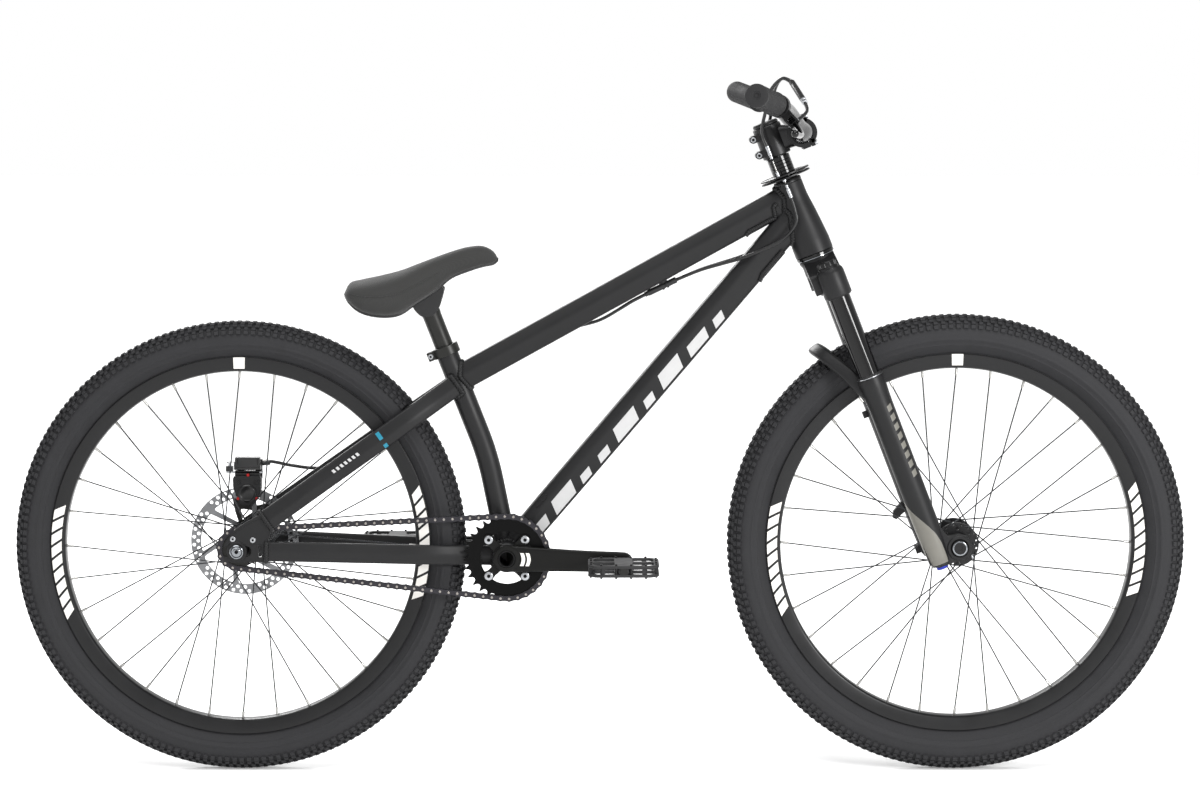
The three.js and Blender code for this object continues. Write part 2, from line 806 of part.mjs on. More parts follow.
const stayEndAcross = dropoutInner + dropoutThickness / 2;
const chainstayStart = point(bracketX, 0, bracketHeight);
const stayEndX = dropoutRearX + dropoutLength * stayEndShares[0];
const chainstayEnd = point(stayEndX - gap, 0, rearTyreRadius - gap);
const chainstayAcrossShares = [[0, 0.36], [0.18, 0.45], [0.32, 0.62], [0.6, 0.78], [0.88, 0.93], [1, 1]];
const seatstayStart = seatBend.clone().addScaledVector(seatUp, topTubeSeatRise - overrun);
const seatstayEnd = point(stayEndX, 0, dropoutFootZ + dropoutHeight * stayEndShares[1]);
const seatstayAcrossShares = [
  [0, 0.21], [0.13, 0.33], [0.26, 0.54], [0.4, 0.65], [0.62, 0.76], [0.85, 0.92], [1, 1],
];

function across(shares) {
  return shares.map(([along, share]) => [along, stayEndAcross * share]);
}

function chainstay(side) {
  const path = stayPath(chainstayStart, chainstayEnd, across(chainstayAcrossShares), side);
  const tube = sweep(path, ovalSection(chainstayDepth, chainstayWidth, 8, stayWall), 6);
  return cut(solid(tube), shellSpace, seatLowSpace, downTubeSpace, dropoutSpace(side));
}

function seatstay(side) {
  const path = stayPath(seatstayStart, seatstayEnd, across(seatstayAcrossShares), side);
  const tube = sweep(path, ovalSection(seatstayWidth, seatstayDepth, 8, stayWall), 5);
  return cut(solid(tube), seatSpace, topTubeSpace, dropoutSpace(side));
}

const seatLowSpace = sweep(seatPath, ovalSection(seatTubeWidth + 2 * gap, seatTubeWidth + 2 * gap, 10), 7);

for (const [word, side] of [['right', right], ['left', left]]) {
  add(bike, `chainstay_${word}`, chainstay(side), black());
  add(bike, `seatstay_${word}`, seatstay(side), black());
  add(bike, `dropout_${word}`, dropout(side), black());
}

// Rear axle with a bolt head outside each dropout
const headFrom = dropoutInner + dropoutThickness + gap;
add(bike, 'rear_axle', join(
  crossRod(rearAxleX, rearTyreRadius, -headFrom - gap, headFrom + gap, rearAxleRadius),
  crossRod(rearAxleX, rearTyreRadius, -headFrom - axleHeadThickness, -headFrom, axleHeadRadius, 16),
  crossRod(rearAxleX, rearTyreRadius, headFrom, headFrom + axleHeadThickness, axleHeadRadius, 16),
), steel());

// Fork: everything here stands along the steering axis

const crownBores = [right, left].map((side) => postBore(
  legForward, side * legOffset, crownBossStart - overrun, crownBossEnd - capThickness, stanchionRadius + gap,
));
const crownTop = headTubeStart - cupWall - gap;
const crownShares = [
  [0.22, 1], [0.55, 0.7], [1, 0.2], [1, -1], [0.74, -0.65], [0.5, -0.15], [0.3, 0.02],
];
const crownDepth = crownTop - crownRise;
const crownHalf = crownShares.map(([side, rise]) => [legOffset * side, crownRise + crownDepth * rise]);
const crownOutline = [...crownHalf, ...crownHalf.map(([y, z]) => [-y, z]).reverse()];
const crownBosses = [right, left].map((side) => post(
  legForward, side * legOffset, crownBossStart, crownBossEnd, crownBossRadius,
));
add(steering, 'fork_crown', cut(
  join(facingPlate(crownOutline, -crownBack, crownFront), ...crownBosses),
  postBore(0, 0, crownRise - overrun, crownTop + overrun, steererRadius + gap), ...crownBores,
), black());

for (const [word, side] of [['right', right], ['left', left]]) {
  add(steering, `stanchion_${word}`, solid(post(
    legForward, side * legOffset, stanchionFoot, crownBossEnd - capThickness - gap, stanchionRadius,
  )), finish(0x101012, 0.12, 0.6));
}

const footInner = frontHubWidth / 2;
const archShares = [[0, 1, 0], [0.38, 0.84, 0.42], [0.82, 0.5, 0.86], [1, 0, 1]];
const footRearShares = [[-0.8, 4], [-0.8, -0.4], [-0.2, -1]];
const footFrontShares = [[0.9, 2.2], [0.8, 4]];
const footToeShares = [-0.5, -0.9];

function lowerLeg(side) {
  const y = side * legOffset;
  const from = Math.min(side * footInner, side * (footInner + footThickness));
  const onLeg = ([x, z]) => [legForward + lowerLegRadius * x, lowerLegFoot * z];
  const foot = plate([
    ...footRearShares.map(onLeg),
    [forkRake + axleClampRadius * footToeShares[0], axleClampRadius * footToeShares[1]],
    ...arc(forkRake, 0, axleClampRadius, -Math.PI / 3, Math.PI / 2, 5),
    ...footFrontShares.map(onLeg),
  ], from, from + footThickness);
  return [post(legForward, y, lowerLegFoot, lowerLegTop, lowerLegRadius), foot];
}

function archPath() {
  const legBack = legForward - lowerLegRadius / 2;
  const foot = lowerLegTop - lowerLegRadius;
  const half = archShares.map(([back, side, rise]) => [
    legBack - (archBack + legBack) * back, legOffset * side, foot + (archRise - foot) * rise,
  ]);
  const rightHalf = half.map(([x, y, z]) => point(x, -y, z));
  const leftHalf = half.slice(0, -1).reverse().map(([x, y, z]) => point(x, y, z));
  return smooth([...rightHalf, ...leftHalf]);
}

const legBores = [right, left].map((side) => postBore(
  legForward, side * legOffset, legBoreFoot, archRise, stanchionRadius + gap,
));
add(steering, 'fork_lowers', cut(
  join(...lowerLeg(right), ...lowerLeg(left), sweep(archPath(), ovalSection(archWidth, archDepth, 8), 8)),
  ...legBores,
  crossBore(forkRake, 0, -legSpacing, legSpacing, frontAxleRadius + gap),
), black());
const axleEnd = footInner + footThickness;
add(steering, 'front_axle', join(
  crossRod(forkRake, 0, -axleEnd - gap, axleEnd + capThickness, frontAxleRadius),
  crossRod(forkRake, 0, -axleEnd - capThickness, -axleEnd - gap, frontAxleHeadRadius),
), black());

add(steering, 'steerer_tube', solid(
  post(0, 0, crownRise, stemStart + stemHeight - capThickness, steererRadius),
), black());

// Headset cups, spacers and the cable rotor

add(steering, 'headset_lower_cup', join(
  steeringCollar(steererRadius + gap, headTubeBottomRadius, headTubeStart - cupWall, headTubeStart - gap),
  steeringCollar(
    steererRadius + gap, headTubeBore - gap, headTubeStart - 2 * gap, headTubeStart + 2 * cupWall,
  ),
), black());

const upperCupTop = headTubeEnd + cupWall - gap;

function cableTabs(forward, from, to) {
  const root = (steererRadius + spacerRadius) / 2;
  const reach = cableReach + cableTabWidth / 2;
  return [right, left].map((side) => block(
    point(forward - cableTabWidth / 2, side > 0 ? root : -reach, from),
    point(forward + cableTabWidth / 2, side > 0 ? reach : -root, to),
  ));
}

function wireHoles(forward, from, to) {
  return [right, left].map((side) => postBore(forward, side * cableReach, from, to, wireRadius + gap, 6));
}

const lowerTabTop = headTubeEnd + gap + cableTabThickness;
add(steering, 'headset_upper_cup', cut(
  join(
    steeringCollar(steererRadius + gap, headTubeTopRadius, headTubeEnd + gap, upperCupTop),
    steeringCollar(steererRadius + gap, headTubeBore - gap, headTubeEnd - 2 * cupWall, headTubeEnd + 2 * gap),
    ...cableTabs(lowerCableForward, headTubeEnd + gap, lowerTabTop),
  ),
  ...wireHoles(lowerCableForward, headTubeEnd - overrun, lowerTabTop + overrun),
), black());

const spacerTop = stemStart - gap;
const spacerStart = upperCupTop + gap;
add(steering, 'headset_spacers', cut(
  join(
    steeringCollar(steererRadius + gap, spacerRadius, spacerStart, spacerTop),
    ...cableTabs(upperCableForward, spacerTop - cableTabThickness, spacerTop),
  ),
  ...wireHoles(upperCableForward, spacerTop - 2 * overrun, spacerTop + overrun),
), black());

const lowerPlateStart = headTubeEnd + cupWall + rotorPlateLift;
const upperPlateStart = lowerPlateStart + rotorPlateThickness + rotorPlateSpacing;

function rotorPlate(from, forward, ...sockets) {
  const disc = steeringCollar(spacerRadius + gap, rotorPlateRadius, from, from + rotorPlateThickness, 20);
  return cut(join(disc, ...sockets), ...wireHoles(forward, from - overrun, from + rotorPlateRadius));
}

// The wires of the upper plate end in sockets on it, above the lower plate's highest place
const socketEnd = upperPlateStart + rotorPlateThickness + wireSocketHeight;
const wireSockets = [right, left].map((side) => post(
  upperCableForward, side * cableReach, upperPlateStart + gap, socketEnd, wireSocketRadius, 8,
));
add(steering, 'gyro_lower_plate', rotorPlate(lowerPlateStart, lowerCableForward), black());
add(steering, 'gyro_upper_plate', rotorPlate(upperPlateStart, upperCableForward, ...wireSockets), black());

// Stem and handlebar

const stemEnd = stemStart + stemHeight;
const clampMiddle = (stemStart + stemEnd) / 2 - stemClampDrop;
const clampOuter = barClampRadius + gap + barClampWall;
const stemSplit = stemReach + barClampWall;
const stemBlank = join(
  post(0, 0, stemStart, stemEnd, stemRadius),
  block(
    point(0, -stemNeckWidth / 2, clampMiddle - stemNeckHeight / 2),
    point(stemReach, stemNeckWidth / 2, clampMiddle + stemNeckHeight / 2),
  ),
  crossRod(stemReach, clampMiddle, -stemWidth / 2, stemWidth / 2, clampOuter, 20),
  ...stemLugShares.map((share) => crossRod(
    -stemLugBack, stemStart + stemHeight * share, -stemLugLength / 2, stemLugLength / 2, stemLugRadius, 10,
  )),
);
const barSpace = crossBore(stemReach, clampMiddle, -stemWidth, stemWidth, barClampRadius + gap, 20);
const stemPart = cut(
  stemBlank, barSpace,
  block(
    point(stemSplit, -stemWidth, stemStart - stemHeight),
    point(2 * stemReach, stemWidth, stemEnd + stemHeight),
  ),
  postBore(0, 0, stemStart - overrun, stemEnd + overrun, steererRadius + gap),
);
add(steering, 'stem', stemPart, black());
add(steering, 'stem_faceplate', cut(
  solid(crossRod(stemReach, clampMiddle, -stemWidth / 2, stemWidth / 2, clampOuter, 20)),
  barSpace,
  block(
    point(0, -stemWidth, stemStart - stemHeight),
    point(stemSplit + gap, stemWidth, stemEnd + stemHeight),
  ),
), black());
add(steering, 'stem_top_cap', join(
  post(0, 0, stemEnd + gap, stemEnd + capThickness, capRadius, 20),
  post(0, 0, stemEnd - capThickness + gap, stemEnd + 2 * gap, steererRadius),
), black());

const barShares = [[0.115, 0, 0], [0.35, 0.495, 0.22], [1, 1, 1]];
const barPoints = barShares.map(([side, rise, back]) => point(
  stemReach - barSetback * back, barHalfWidth * side, clampMiddle + barRise * rise,
));
const barLine = [
  ...barPoints.map((place) => point(place.x, -place.y, place.z)).reverse(), ...barPoints,
];
const barBendShare = 0.3;
const barPath = bent(barLine, barBendShare);
add(steering, 'handlebar', join(
  sweep(barPath, ovalSection(2 * barRadius, 2 * barRadius, 10), 18),
  crossRod(stemReach, clampMiddle, -stemWidth / 2 - overrun, stemWidth / 2 + overrun, barClampRadius, 20),
), black());

const barOutward = barPoints[2].clone().sub(barPoints[1]).normalize();
for (const [word, side] of [['right', right], ['left', left]]) {
  const flip = (place) => point(place.x, side * place.y, place.z);
  const end = barPoints[2].clone().addScaledVector(barOutward, gap + gripPlug);
  const start = barPoints[2].clone().addScaledVector(barOutward, -gripLength);
  const hollowEnd = barPoints[2].clone().addScaledVector(barOutward, gap);
  const hollowStart = barPoints[2].clone().addScaledVector(barOutward, -gripLength - overrun);
  add(steering, `grip_${word}`, cut(
    solid(rod(flip(start), flip(end), gripRadius)),
    bore(flip(hollowStart), flip(hollowEnd), barRadius + gap, 12),
  ), rubber());
}

// Brake lever: X runs outward along the bar, Y from the bar to the blade, Z is the pivot's axis

const lever = new THREE.Group();
const leverOut = point(barOutward.x, -barOutward.y, barOutward.z);
const leverDown = point(Math.cos(leverTilt), 0, -Math.sin(leverTilt));
leverDown.addScaledVector(leverOut, -leverDown.dot(leverOut)).normalize();
const leverAxis = leverOut.clone().cross(leverDown);
const alongOuter = (barHalfWidth - leverOffset) / barOutward.y;
const leverPlace = barPoints[2].clone().addScaledVector(barOutward, -alongOuter);
lever.position.set(leverPlace.x, -leverPlace.y, leverPlace.z);
lever.quaternion.setFromRotationMatrix(new THREE.Matrix4().makeBasis(leverOut, leverDown, leverAxis));
steering.add(lever);

const leverBoreRadius = barRadius + gap;
const leverRingRadius = barRadius + barClampWall;
const alongX = (geometry) => geometry.rotateZ(-Math.PI / 2);
const forkInner = leverThickness / 2 + gap;
const perchHalf = forkInner + perchWall;
const perchArm = block(
  point(-leverClampWidth / 2, leverBoreRadius + gap, -perchHalf),
  point(leverClampWidth, perchReach, perchHalf),
);
const perchSlot = block(
  point(-leverClampWidth / 4, perchSlotStart, -forkInner),
  point(leverClampWidth + overrun, perchReach + overrun, forkInner),
);
const pivotX = leverClampWidth / 2;
const perchBarrelEnd = -leverClampWidth / 2 - perchBarrelLength;
const perchBarrel = rod(
  point(perchBarrelEnd, leverPivotReach, 0), point(-leverClampWidth / 3, leverPivotReach, 0),
  perchBarrelRadius, 10,
);

// A round bar on the lever's pivot axis
function pivotRod(radius, reach) {
  return rod(point(pivotX, leverPivotReach, -reach), point(pivotX, leverPivotReach, reach), radius, 12);
}

add(lever, 'brake_lever_clamp', cut(
  join(
    alongX(collar(leverBoreRadius, leverRingRadius, -leverClampWidth / 2, leverClampWidth / 2)),
    perchArm, perchBarrel,
  ),
  perchSlot,
).add(solid(pivotRod(leverPinRadius, perchHalf))), black());

const bladeShares = [[0, 0], [0.1, 0.3], [0.3, 0.72], [0.6, 0.97], [1, 1]];
const bladePath = smooth(bladeShares.map(([along, reach]) => point(
  pivotX + leverLength * along, leverPivotReach + (leverReach - leverPivotReach) * reach, 0,
)));
add(lever, 'brake_lever_blade', cut(
  join(
    sweep(bladePath, ovalSection(leverThickness, leverBladeDepth, 8), 7),
    pivotRod(leverBossRadius, leverThickness / 2),
    new THREE.SphereGeometry(leverTipRadius, 8, 5).translate(pivotX + leverLength, leverReach, 0),
  ),
  pivotRod(clearing(leverPinRadius + gap, 12), perchHalf + overrun),
), finish(0x2a2a2b, 0.4, 0.8));

// Drive: chain, cog, chainring, cranks and pedals

function toothed(radius, teeth) {
  const step = (2 * Math.PI) / teeth;
  const root = radius - toothHeight / 2;
  const tip = radius + toothHeight;
  const flankShares = [[0.2, root], [0.5, tip], [0.8, root]];
  return Array.from({ length: teeth }, (_, k) => flankShares.map(([share, r]) => {
    const angle = (k + share) * step;
    return [r * Math.cos(angle), r * Math.sin(angle)];
  })).flat();
}

const cog = new THREE.Group();
cog.position.copy(rearAxle);
bike.add(cog);
const sprocketFrom = -chainLine - sprocketThickness / 2;
add(cog, 'rear_cog', solid(plate(
  toothed(cogRadius, cogTeeth), sprocketFrom, sprocketFrom + sprocketThickness,
  [circle(0, 0, clearing(rearShellRadius + gap, 16), 16)],
)), steel());

const wrapCounts = [8, 14];
const pinEvery = 4;

function chainBand(side) {
  const half = chainPlateHeight / 2;
  const outline = belt(rearAxle, cogRadius + half, bracket, ringRadius + half, ...wrapCounts);
  const hole = belt(rearAxle, cogRadius - half, bracket, ringRadius - half, ...wrapCounts);
  const inner = -chainLine + (side * chainInnerWidth) / 2;
  const outer = inner + side * chainPlateThickness;
  return plate(outline, Math.min(inner, outer), Math.max(inner, outer), [hole]);
}

function chainPins() {
  const run = belt(rearAxle, cogRadius, bracket, ringRadius, ...wrapCounts);
  const runs = [[run[0], run[run.length - 1]], [run[wrapCounts[0]], run[wrapCounts[0] + 1]]];
  const reach = (chainInnerWidth + chainPlateThickness) / 2;
  return runs.flatMap(([from, to]) => {
    const length = Math.hypot(to[0] - from[0], to[1] - from[1]);
    const count = Math.floor(length / chainPitch / pinEvery) - 1;
    return Array.from({ length: count }, (_, k) => {
      const share = ((k + 3 / 4) * pinEvery * chainPitch) / length;
      const x = from[0] + (to[0] - from[0]) * share;
      const z = from[1] + (to[1] - from[1]) * share;
      return crossRod(x, z, -chainLine - reach, -chainLine + reach, chainPinRadius, 4);
    });
  });
}

add(bike, 'chain', join(chainBand(right), chainBand(left), ...chainPins()), finish(0x4a4642, 0.4, 0.9));

const cranks = new THREE.Group();
cranks.position.copy(bracket);
cranks.rotation.y = crankDrop;
bike.add(cranks);

// The chainring has a window between each pair of spider arms
const armTurn = (2 * Math.PI) / spiderArms;
const ringHoles = [circle(0, 0, clearing(ringBore, 20), 20)];
for (let k = 0; k < spiderArms; k += 1) {
  const [innerHalf, outerHalf] = ringWindowShares.map((share) => armTurn * share);
  const inside = arc(0, 0, ringBore + ringInnerWall, k * armTurn - innerHalf, k * armTurn + innerHalf, 3);
  const outside = arc(0, 0, ringRadius - ringOuterWall, k * armTurn - outerHalf, k * armTurn + outerHalf, 4);
  ringHoles.push([...inside, ...outside.reverse()]);
}
add(cranks, 'chainring', solid(plate(
  toothed(ringRadius, ringTeeth), sprocketFrom, sprocketFrom + sprocketThickness, ringHoles,
)), black());

// A link between two round ends, as an outline
function link(length, firstRadius, secondRadius) {
  return belt(point(0, 0, 0), firstRadius, point(length, 0, 0), secondRadius, 7, 6);
}

const spiderOuter = chainLine + sprocketThickness / 2 + gap + spiderThickness;
const armInner = spiderOuter - 2 * gap;
const spindleEnd = armInner + crankThickness;

// The arm leans outward from its boss to the pedal
function crankArm(side) {
  const arm = plate(
    link(side * crankLength * right, crankBossRadius, crankEndRadius), 0, crankThickness,
  );
  const lean = new THREE.Matrix4().set(
    1, 0, 0, 0, (side * right * crankFlare) / crankLength, 1, 0, armInner, 0, 0, 1, 0, 0, 0, 0, 1,
  );
  arm.applyMatrix4(lean);
  if (side === right) {
    arm.applyMatrix4(new THREE.Matrix4().makeScale(1, -1, 1));
  }
  const pedalX = -side * crankLength;
  const axleFrom = armInner + crankFlare + crankThickness / 2;
  const pieces = [
    arm,
    crossRod(0, 0, side * (shellWidth / 2 + 2 * gap), side * spindleEnd, crankHubRadius),
    crossRod(pedalX, 0, side * axleFrom, side * pedalEnd, pedalAxleRadius, 12),
  ];
  if (side === right) {
    pieces.push(...spider());
  }
  return cut(join(...pieces), crossBore(0, 0, -2 * spindleEnd, 2 * spindleEnd, spindleRadius + gap));
}

// The spider's arms lie outside the chainring, and each one ends past its bolt
function spider() {
  return Array.from({ length: spiderArms }, (_, k) => plate([
    [0, -spiderWidth / 2], [ringBoltCircle, -spiderWidth / 2], [ringBoltCircle + spiderWidth / 2, 0],
    [ringBoltCircle, spiderWidth / 2], [0, spiderWidth / 2],
  ], -spiderOuter, -spiderOuter + spiderThickness).rotateY((k + 1 / 2) * armTurn));
}

const pedalInner = armInner + crankFlare + crankThickness + pedalSpacing;
const pedalEnd = pedalInner + pedalWidth - pedalWall;
add(cranks, 'crank_spindle', solid(
  crossRod(0, 0, -spindleEnd + gap, spindleEnd - gap, spindleRadius),
), steel());
add(cranks, 'crank_arm_right', crankArm(right), finish(0x2d2d2b, 0.35, 0.7));
add(cranks, 'crank_arm_left', crankArm(left), finish(0x2d2d2b, 0.35, 0.7));

// A pedal: a cage round its barrel, with two windows
function pedalBody(side) {
  const half = pedalLength / 2;
  const from = Math.min(side * pedalInner, side * (pedalInner + pedalWidth));
  const chamfer = pedalThickness / 4;
  const body = plate([
    [-half, -pedalThickness / 2 + chamfer], [-half + chamfer, -pedalThickness / 2],
    [half - chamfer, -pedalThickness / 2], [half, -pedalThickness / 2 + chamfer],
    [half, pedalThickness / 2 - chamfer], [half - chamfer, pedalThickness / 2],
    [-half + chamfer, pedalThickness / 2], [-half, pedalThickness / 2 - chamfer],
  ], from, from + pedalWidth);
  const windows = [-1, 1].map((end) => block(
    point(end < 0 ? -half + pedalWall : pedalBarrelHalf, from + pedalWall, -pedalThickness),
    point(end < 0 ? -pedalBarrelHalf : half - pedalWall, from + pedalWidth - pedalWall, pedalThickness),
  ));
  return cut(solid(body), ...windows, crossBore(
    0, 0, side * (pedalInner - overrun), side * (pedalEnd + gap), pedalAxleRadius + gap, 12,
  ));
}

for (const [word, side] of [['right', right], ['left', left]]) {
  const pedal = new THREE.Group();
  pedal.position.set(
    bracketX - side * crankLength * Math.cos(crankDrop), 0,
    bracketHeight + side * crankLength * Math.sin(crankDrop),
  );
  bike.add(pedal);
  add(pedal, `pedal_${word}`, pedalBody(side), finish(0x3a3a3a, 0.6, 0.5));
}

// Seat post and saddle

const headPlace = seatTop.clone().addScaledVector(seatUp, postRise);
add(bike, 'seat_post', join(
  rod(seatTop.clone().addScaledVector(seatUp, -postInsertion), headPlace, postRadius),
  crossRod(headPlace.x, headPlace.z, -postHeadWidth / 2, postHeadWidth / 2, postHeadRadius, 20),
), black());

const saddleAlongShares = [0, 0.03, 0.1, 0.22, 0.36, 0.48, 0.6, 0.7, 0.8, 0.9, 0.97, 1];
const saddleTopShares = [0.34, 0.47, 0.515, 0.57, 0.65, 0.75, 0.85, 0.927, 0.988, 1, 0.92, 0.81];
const saddleBottomShares = [0.28, 0.19, 0.07, 0, 0.02, 0.19, 0.36, 0.54, 0.63, 0.7, 0.73, 0.78];
const saddleWidthShares = [0.5, 0.78, 0.94, 1, 0.91, 0.69, 0.5, 0.4, 0.345, 0.3, 0.22, 0.1];
const saddleFoot = headPlace.z - saddleBelowHead;
const saddleRearX = headPlace.x - saddleRearFromHead;

// Rings of points along the saddle: crowned on top, and drawn in below the widest line
function saddleLoft(drop, highLimit, narrow, count) {
  const rings = saddleAlongShares.map((along, i) => {
    const floor = saddleFoot + saddleHeight * saddleBottomShares[i];
    const high = Math.min(saddleFoot + saddleHeight * saddleTopShares[i], floor + highLimit);
    const middle = floor + (high - floor) * saddleWaistShare;
    const half = (saddleWidth / 2) * saddleWidthShares[i] * narrow;
    return Array.from({ length: count }, (_, k) => {
      const angle = (2 * Math.PI * k) / count;
      const up = Math.sin(angle);
      const side = Math.sign(Math.cos(angle)) * Math.abs(Math.cos(angle)) ** saddleRoundShares[0];
      const drawn = up < 0 ? 1 - saddleTuckShare * up * up : 1;
      const fall = (middle - floor + drop) * Math.abs(up) ** saddleRoundShares[1];
      const rise = up > 0 ? (high - middle) * up : -fall;
      return point(saddleRearX + saddleLength * along, half * side * drawn, middle + rise);
    });
  });
  return loft(rings);
}

function loft(rings) {
  const count = rings[0].length;
  const positions = rings.flat().flatMap((place) => [place.x, place.y, place.z]);
  const triangles = [];
  for (let i = 0; i + 1 < rings.length; i += 1) {
    for (let k = 0; k < count; k += 1) {
      const a = i * count + k;
      const b = i * count + ((k + 1) % count);
      triangles.push(a, b, b + count, a, b + count, a + count);
    }
  }
  const last = (rings.length - 1) * count;
  for (let k = 1; k + 1 < count; k += 1) {
    triangles.push(0, k + 1, k, last, last + k, last + k + 1);
  }
  const geometry = new THREE.BufferGeometry();
  geometry.setAttribute('position', new THREE.Float32BufferAttribute(positions, 3));
  geometry.setIndex(triangles);
  return geometry;
}

const headSpaceInSaddle = crossBore(
  headPlace.x, headPlace.z, -saddleWidth, saddleWidth, postHeadRadius + gap, 20,
);
add(bike, 'saddle_base', cut(
  solid(saddleLoft(0, saddleBaseThickness, saddleBaseShare, 12)), headSpaceInSaddle,
), plastic());
add(bike, 'saddle_pad', cut(
  solid(saddleLoft(0, saddleHeight, 1, 22)),
  saddleLoft(overrun, saddleBaseThickness + 2 * gap, saddleHollowShare, 12), headSpaceInSaddle,
), finish(0x39393b, 0.9, 0));

// Rear brake caliper and its arm, on the left dropout

const caliperX = rearAxleX + caliperForward;
const caliperZ = rearTyreRadius + caliperRise;
const caliperInner = rotorOffset - caliperWidth / 2;
const bracketFrom = rotorOffset + caliperFootGap;
const armFrom = caliperInner + caliperWidth + gap;
add(bike, 'rear_caliper', cut(
  join(
    block(
      point(caliperX - caliperLength / 2, caliperInner, caliperZ - caliperHeight / 2),
      point(caliperX + caliperLength / 2, caliperInner + caliperWidth, caliperZ + caliperHeight / 2),
    ),
    crossRod(
      caliperX, caliperZ - caliperFaceDepth, caliperInner - caliperFaceDepth, caliperInner + caliperFaceDepth,
      caliperFaceRadius,
    ),
    block(
      point(caliperX - caliperLength / 2, bracketFrom, rearTyreRadius + rearAxleRadius + caliperFootGap),
      point(caliperX + caliperLength / 2, dropoutInner - gap, caliperZ),
    ),
    block(
      point(
        caliperX + caliperLength / 2 - caliperStopLength, caliperInner + caliperWidth - caliperStopWidth / 2,
        caliperZ + caliperHeight / 2 - overrun,
      ),
      point(
        caliperX + caliperLength / 2, caliperInner + caliperWidth + caliperStopWidth / 2,
        caliperZ + caliperHeight / 2 - overrun + caliperStopRise,
      ),
    ),
  ),
  block(
    point(caliperX - caliperLength, rotorOffset - caliperSlot / 2, caliperZ - caliperHeight),
    point(
      caliperX + caliperLength, rotorOffset + caliperSlot / 2, rearTyreRadius + rotorRadius + caliperSlot / 2,
    ),
  ),
), black());

// Brake cables: two wires pull the rotor's upper plate, two more leave its lower plate

function cableRun(points, steps) {
  return sweep(smooth(points), ovalSection(2 * cableRadius, 2 * cableRadius, 5), steps);
}

function alongSteering(from, to, forward, side, radius, sides) {
  return rod(
    onSteering(from, forward, side * cableReach), onSteering(to, forward, side * cableReach), radius, sides,
  );
}

function nearStem(places) {
  return places.map(([rise, ahead, share]) => (
    onSteering(stemStart + rise, ahead, right * leverOffset * share)
  ));
}

function nearHead(places, side) {
  return places.map(([rise, ahead, aside]) => onSteering(headTubeStart + rise, ahead, side * aside));
}

function besideLine(from, to, places, side = left) {
  const line = to.clone().sub(from).normalize();
  const normal = point(-line.z, 0, line.x);
  return places.map(([share, offset, aside]) => {
    const place = from.clone().lerp(to, share).addScaledVector(normal, offset);
    place.y = side * aside;
    return place;
  });
}

bike.updateMatrixWorld(true);
const leverExit = lever.localToWorld(point(perchBarrelEnd - gap, leverPivotReach, 0));
const leverClear = lever.localToWorld(point(perchBarrelEnd - 4 * cableRadius, leverPivotReach, 0));
const upperWireEnd = lowerPlateStart + rotorPlateThickness + rotorPlateTravel + gap;
const upperSplitEnds = nearStem(upperSplit);
const upperStop = stemStart;
const upperAdjusters = [right, left].flatMap((side) => [
  alongSteering(upperWireEnd, upperStop + 2 * gap, upperCableForward, side, wireRadius, 5),
  alongSteering(upperStop, upperStop + adjusterLength, upperCableForward, side, adjusterRadius, 6),
]);
add(bike, 'upper_brake_cable', join(
  cableRun([leverExit, leverClear, ...nearStem(leverRoute), ...upperSplitEnds], 7),
  rod(...upperSplitEnds, barrelRadius, 8),
  ...[right, left].map((side, i) => cableRun([
    upperSplitEnds[1], ...nearStem(upperRoutes[i]),
    onSteering(upperStop + 2 * adjusterLength, upperCableForward, side * (cableReach + upperCableSpread)),
    onSteering(upperStop + adjusterLength - adjusterLap, upperCableForward, side * cableReach),
  ], 9)),
  ...upperAdjusters,
), rubber());

const lowerStop = headTubeEnd;
const lowerWireEnd = lowerPlateStart + rotorPlateThickness;
const [splitFront, splitRear] = besideLine(topTubeRear, topTubeFront, lowerSplit);
const splitMiddle = splitFront.clone().lerp(splitRear, clipShare);
const topTubeLine = topTubeFront.clone().sub(topTubeRear).normalize();
const topTubeNormal = point(-topTubeLine.z, 0, topTubeLine.x);
const clipLength = topTubeRear.clone().sub(splitMiddle).dot(topTubeNormal) - topTubeDepth / 2 - gap;
add(bike, 'lower_brake_cable', join(
  ...[right, left].flatMap((side) => [
    alongSteering(lowerStop - adjusterLength, lowerStop, lowerCableForward, side, adjusterRadius, 6),
    alongSteering(lowerStop - gap, lowerWireEnd, lowerCableForward, side, wireRadius, 5),
    cableRun([
      onSteering(lowerStop - adjusterLength + adjusterLap, lowerCableForward, side * cableReach),
      ...nearHead(lowerHeadRoute, side), ...besideLine(topTubeRear, topTubeFront, lowerTubeRoute, side),
    ], 11),
  ]),
  rod(splitFront, splitRear, barrelRadius, 8),
  rod(splitMiddle, splitMiddle.clone().addScaledVector(topTubeNormal, clipLength), barrelRadius, 8),
), rubber());

const rearCableStop = point(
  caliperX + caliperLength / 2 + gap, armFrom + caliperCableAside, caliperZ + caliperCableRise,
);
add(bike, 'rear_brake_cable', solid(cableRun([
  splitRear.clone().add(point(-gap, 0, -gap)),
  ...besideLine(topTubeRear, topTubeFront, rearTubeRoute),
  ...besideLine(seatstayEnd, seatstayStart, rearStayRoute),
  rearCableStop.clone().add(point(caliperCableRun, 0, 0)),
  rearCableStop,
], 28)), rubber());

const armPivot = point(caliperX, 0, caliperZ + caliperArmRise);
const armEnd = armPivot.clone().add(point(-caliperArmLength / 2, 0, caliperArmLength));
add(bike, 'caliper_arm', solid(plate(
  belt(armPivot, caliperArmRadius, armEnd, caliperArmEndRadius, 8, 8), armFrom, armFrom + caliperArmThickness,
)), black());

export default bike;
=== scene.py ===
"""Dirt jump bike: detailed pieces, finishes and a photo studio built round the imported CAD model.

Lengths in the code are millimetres in the CAD's frame: +X is forward, +Z is up and the drive side faces -Y.
"""

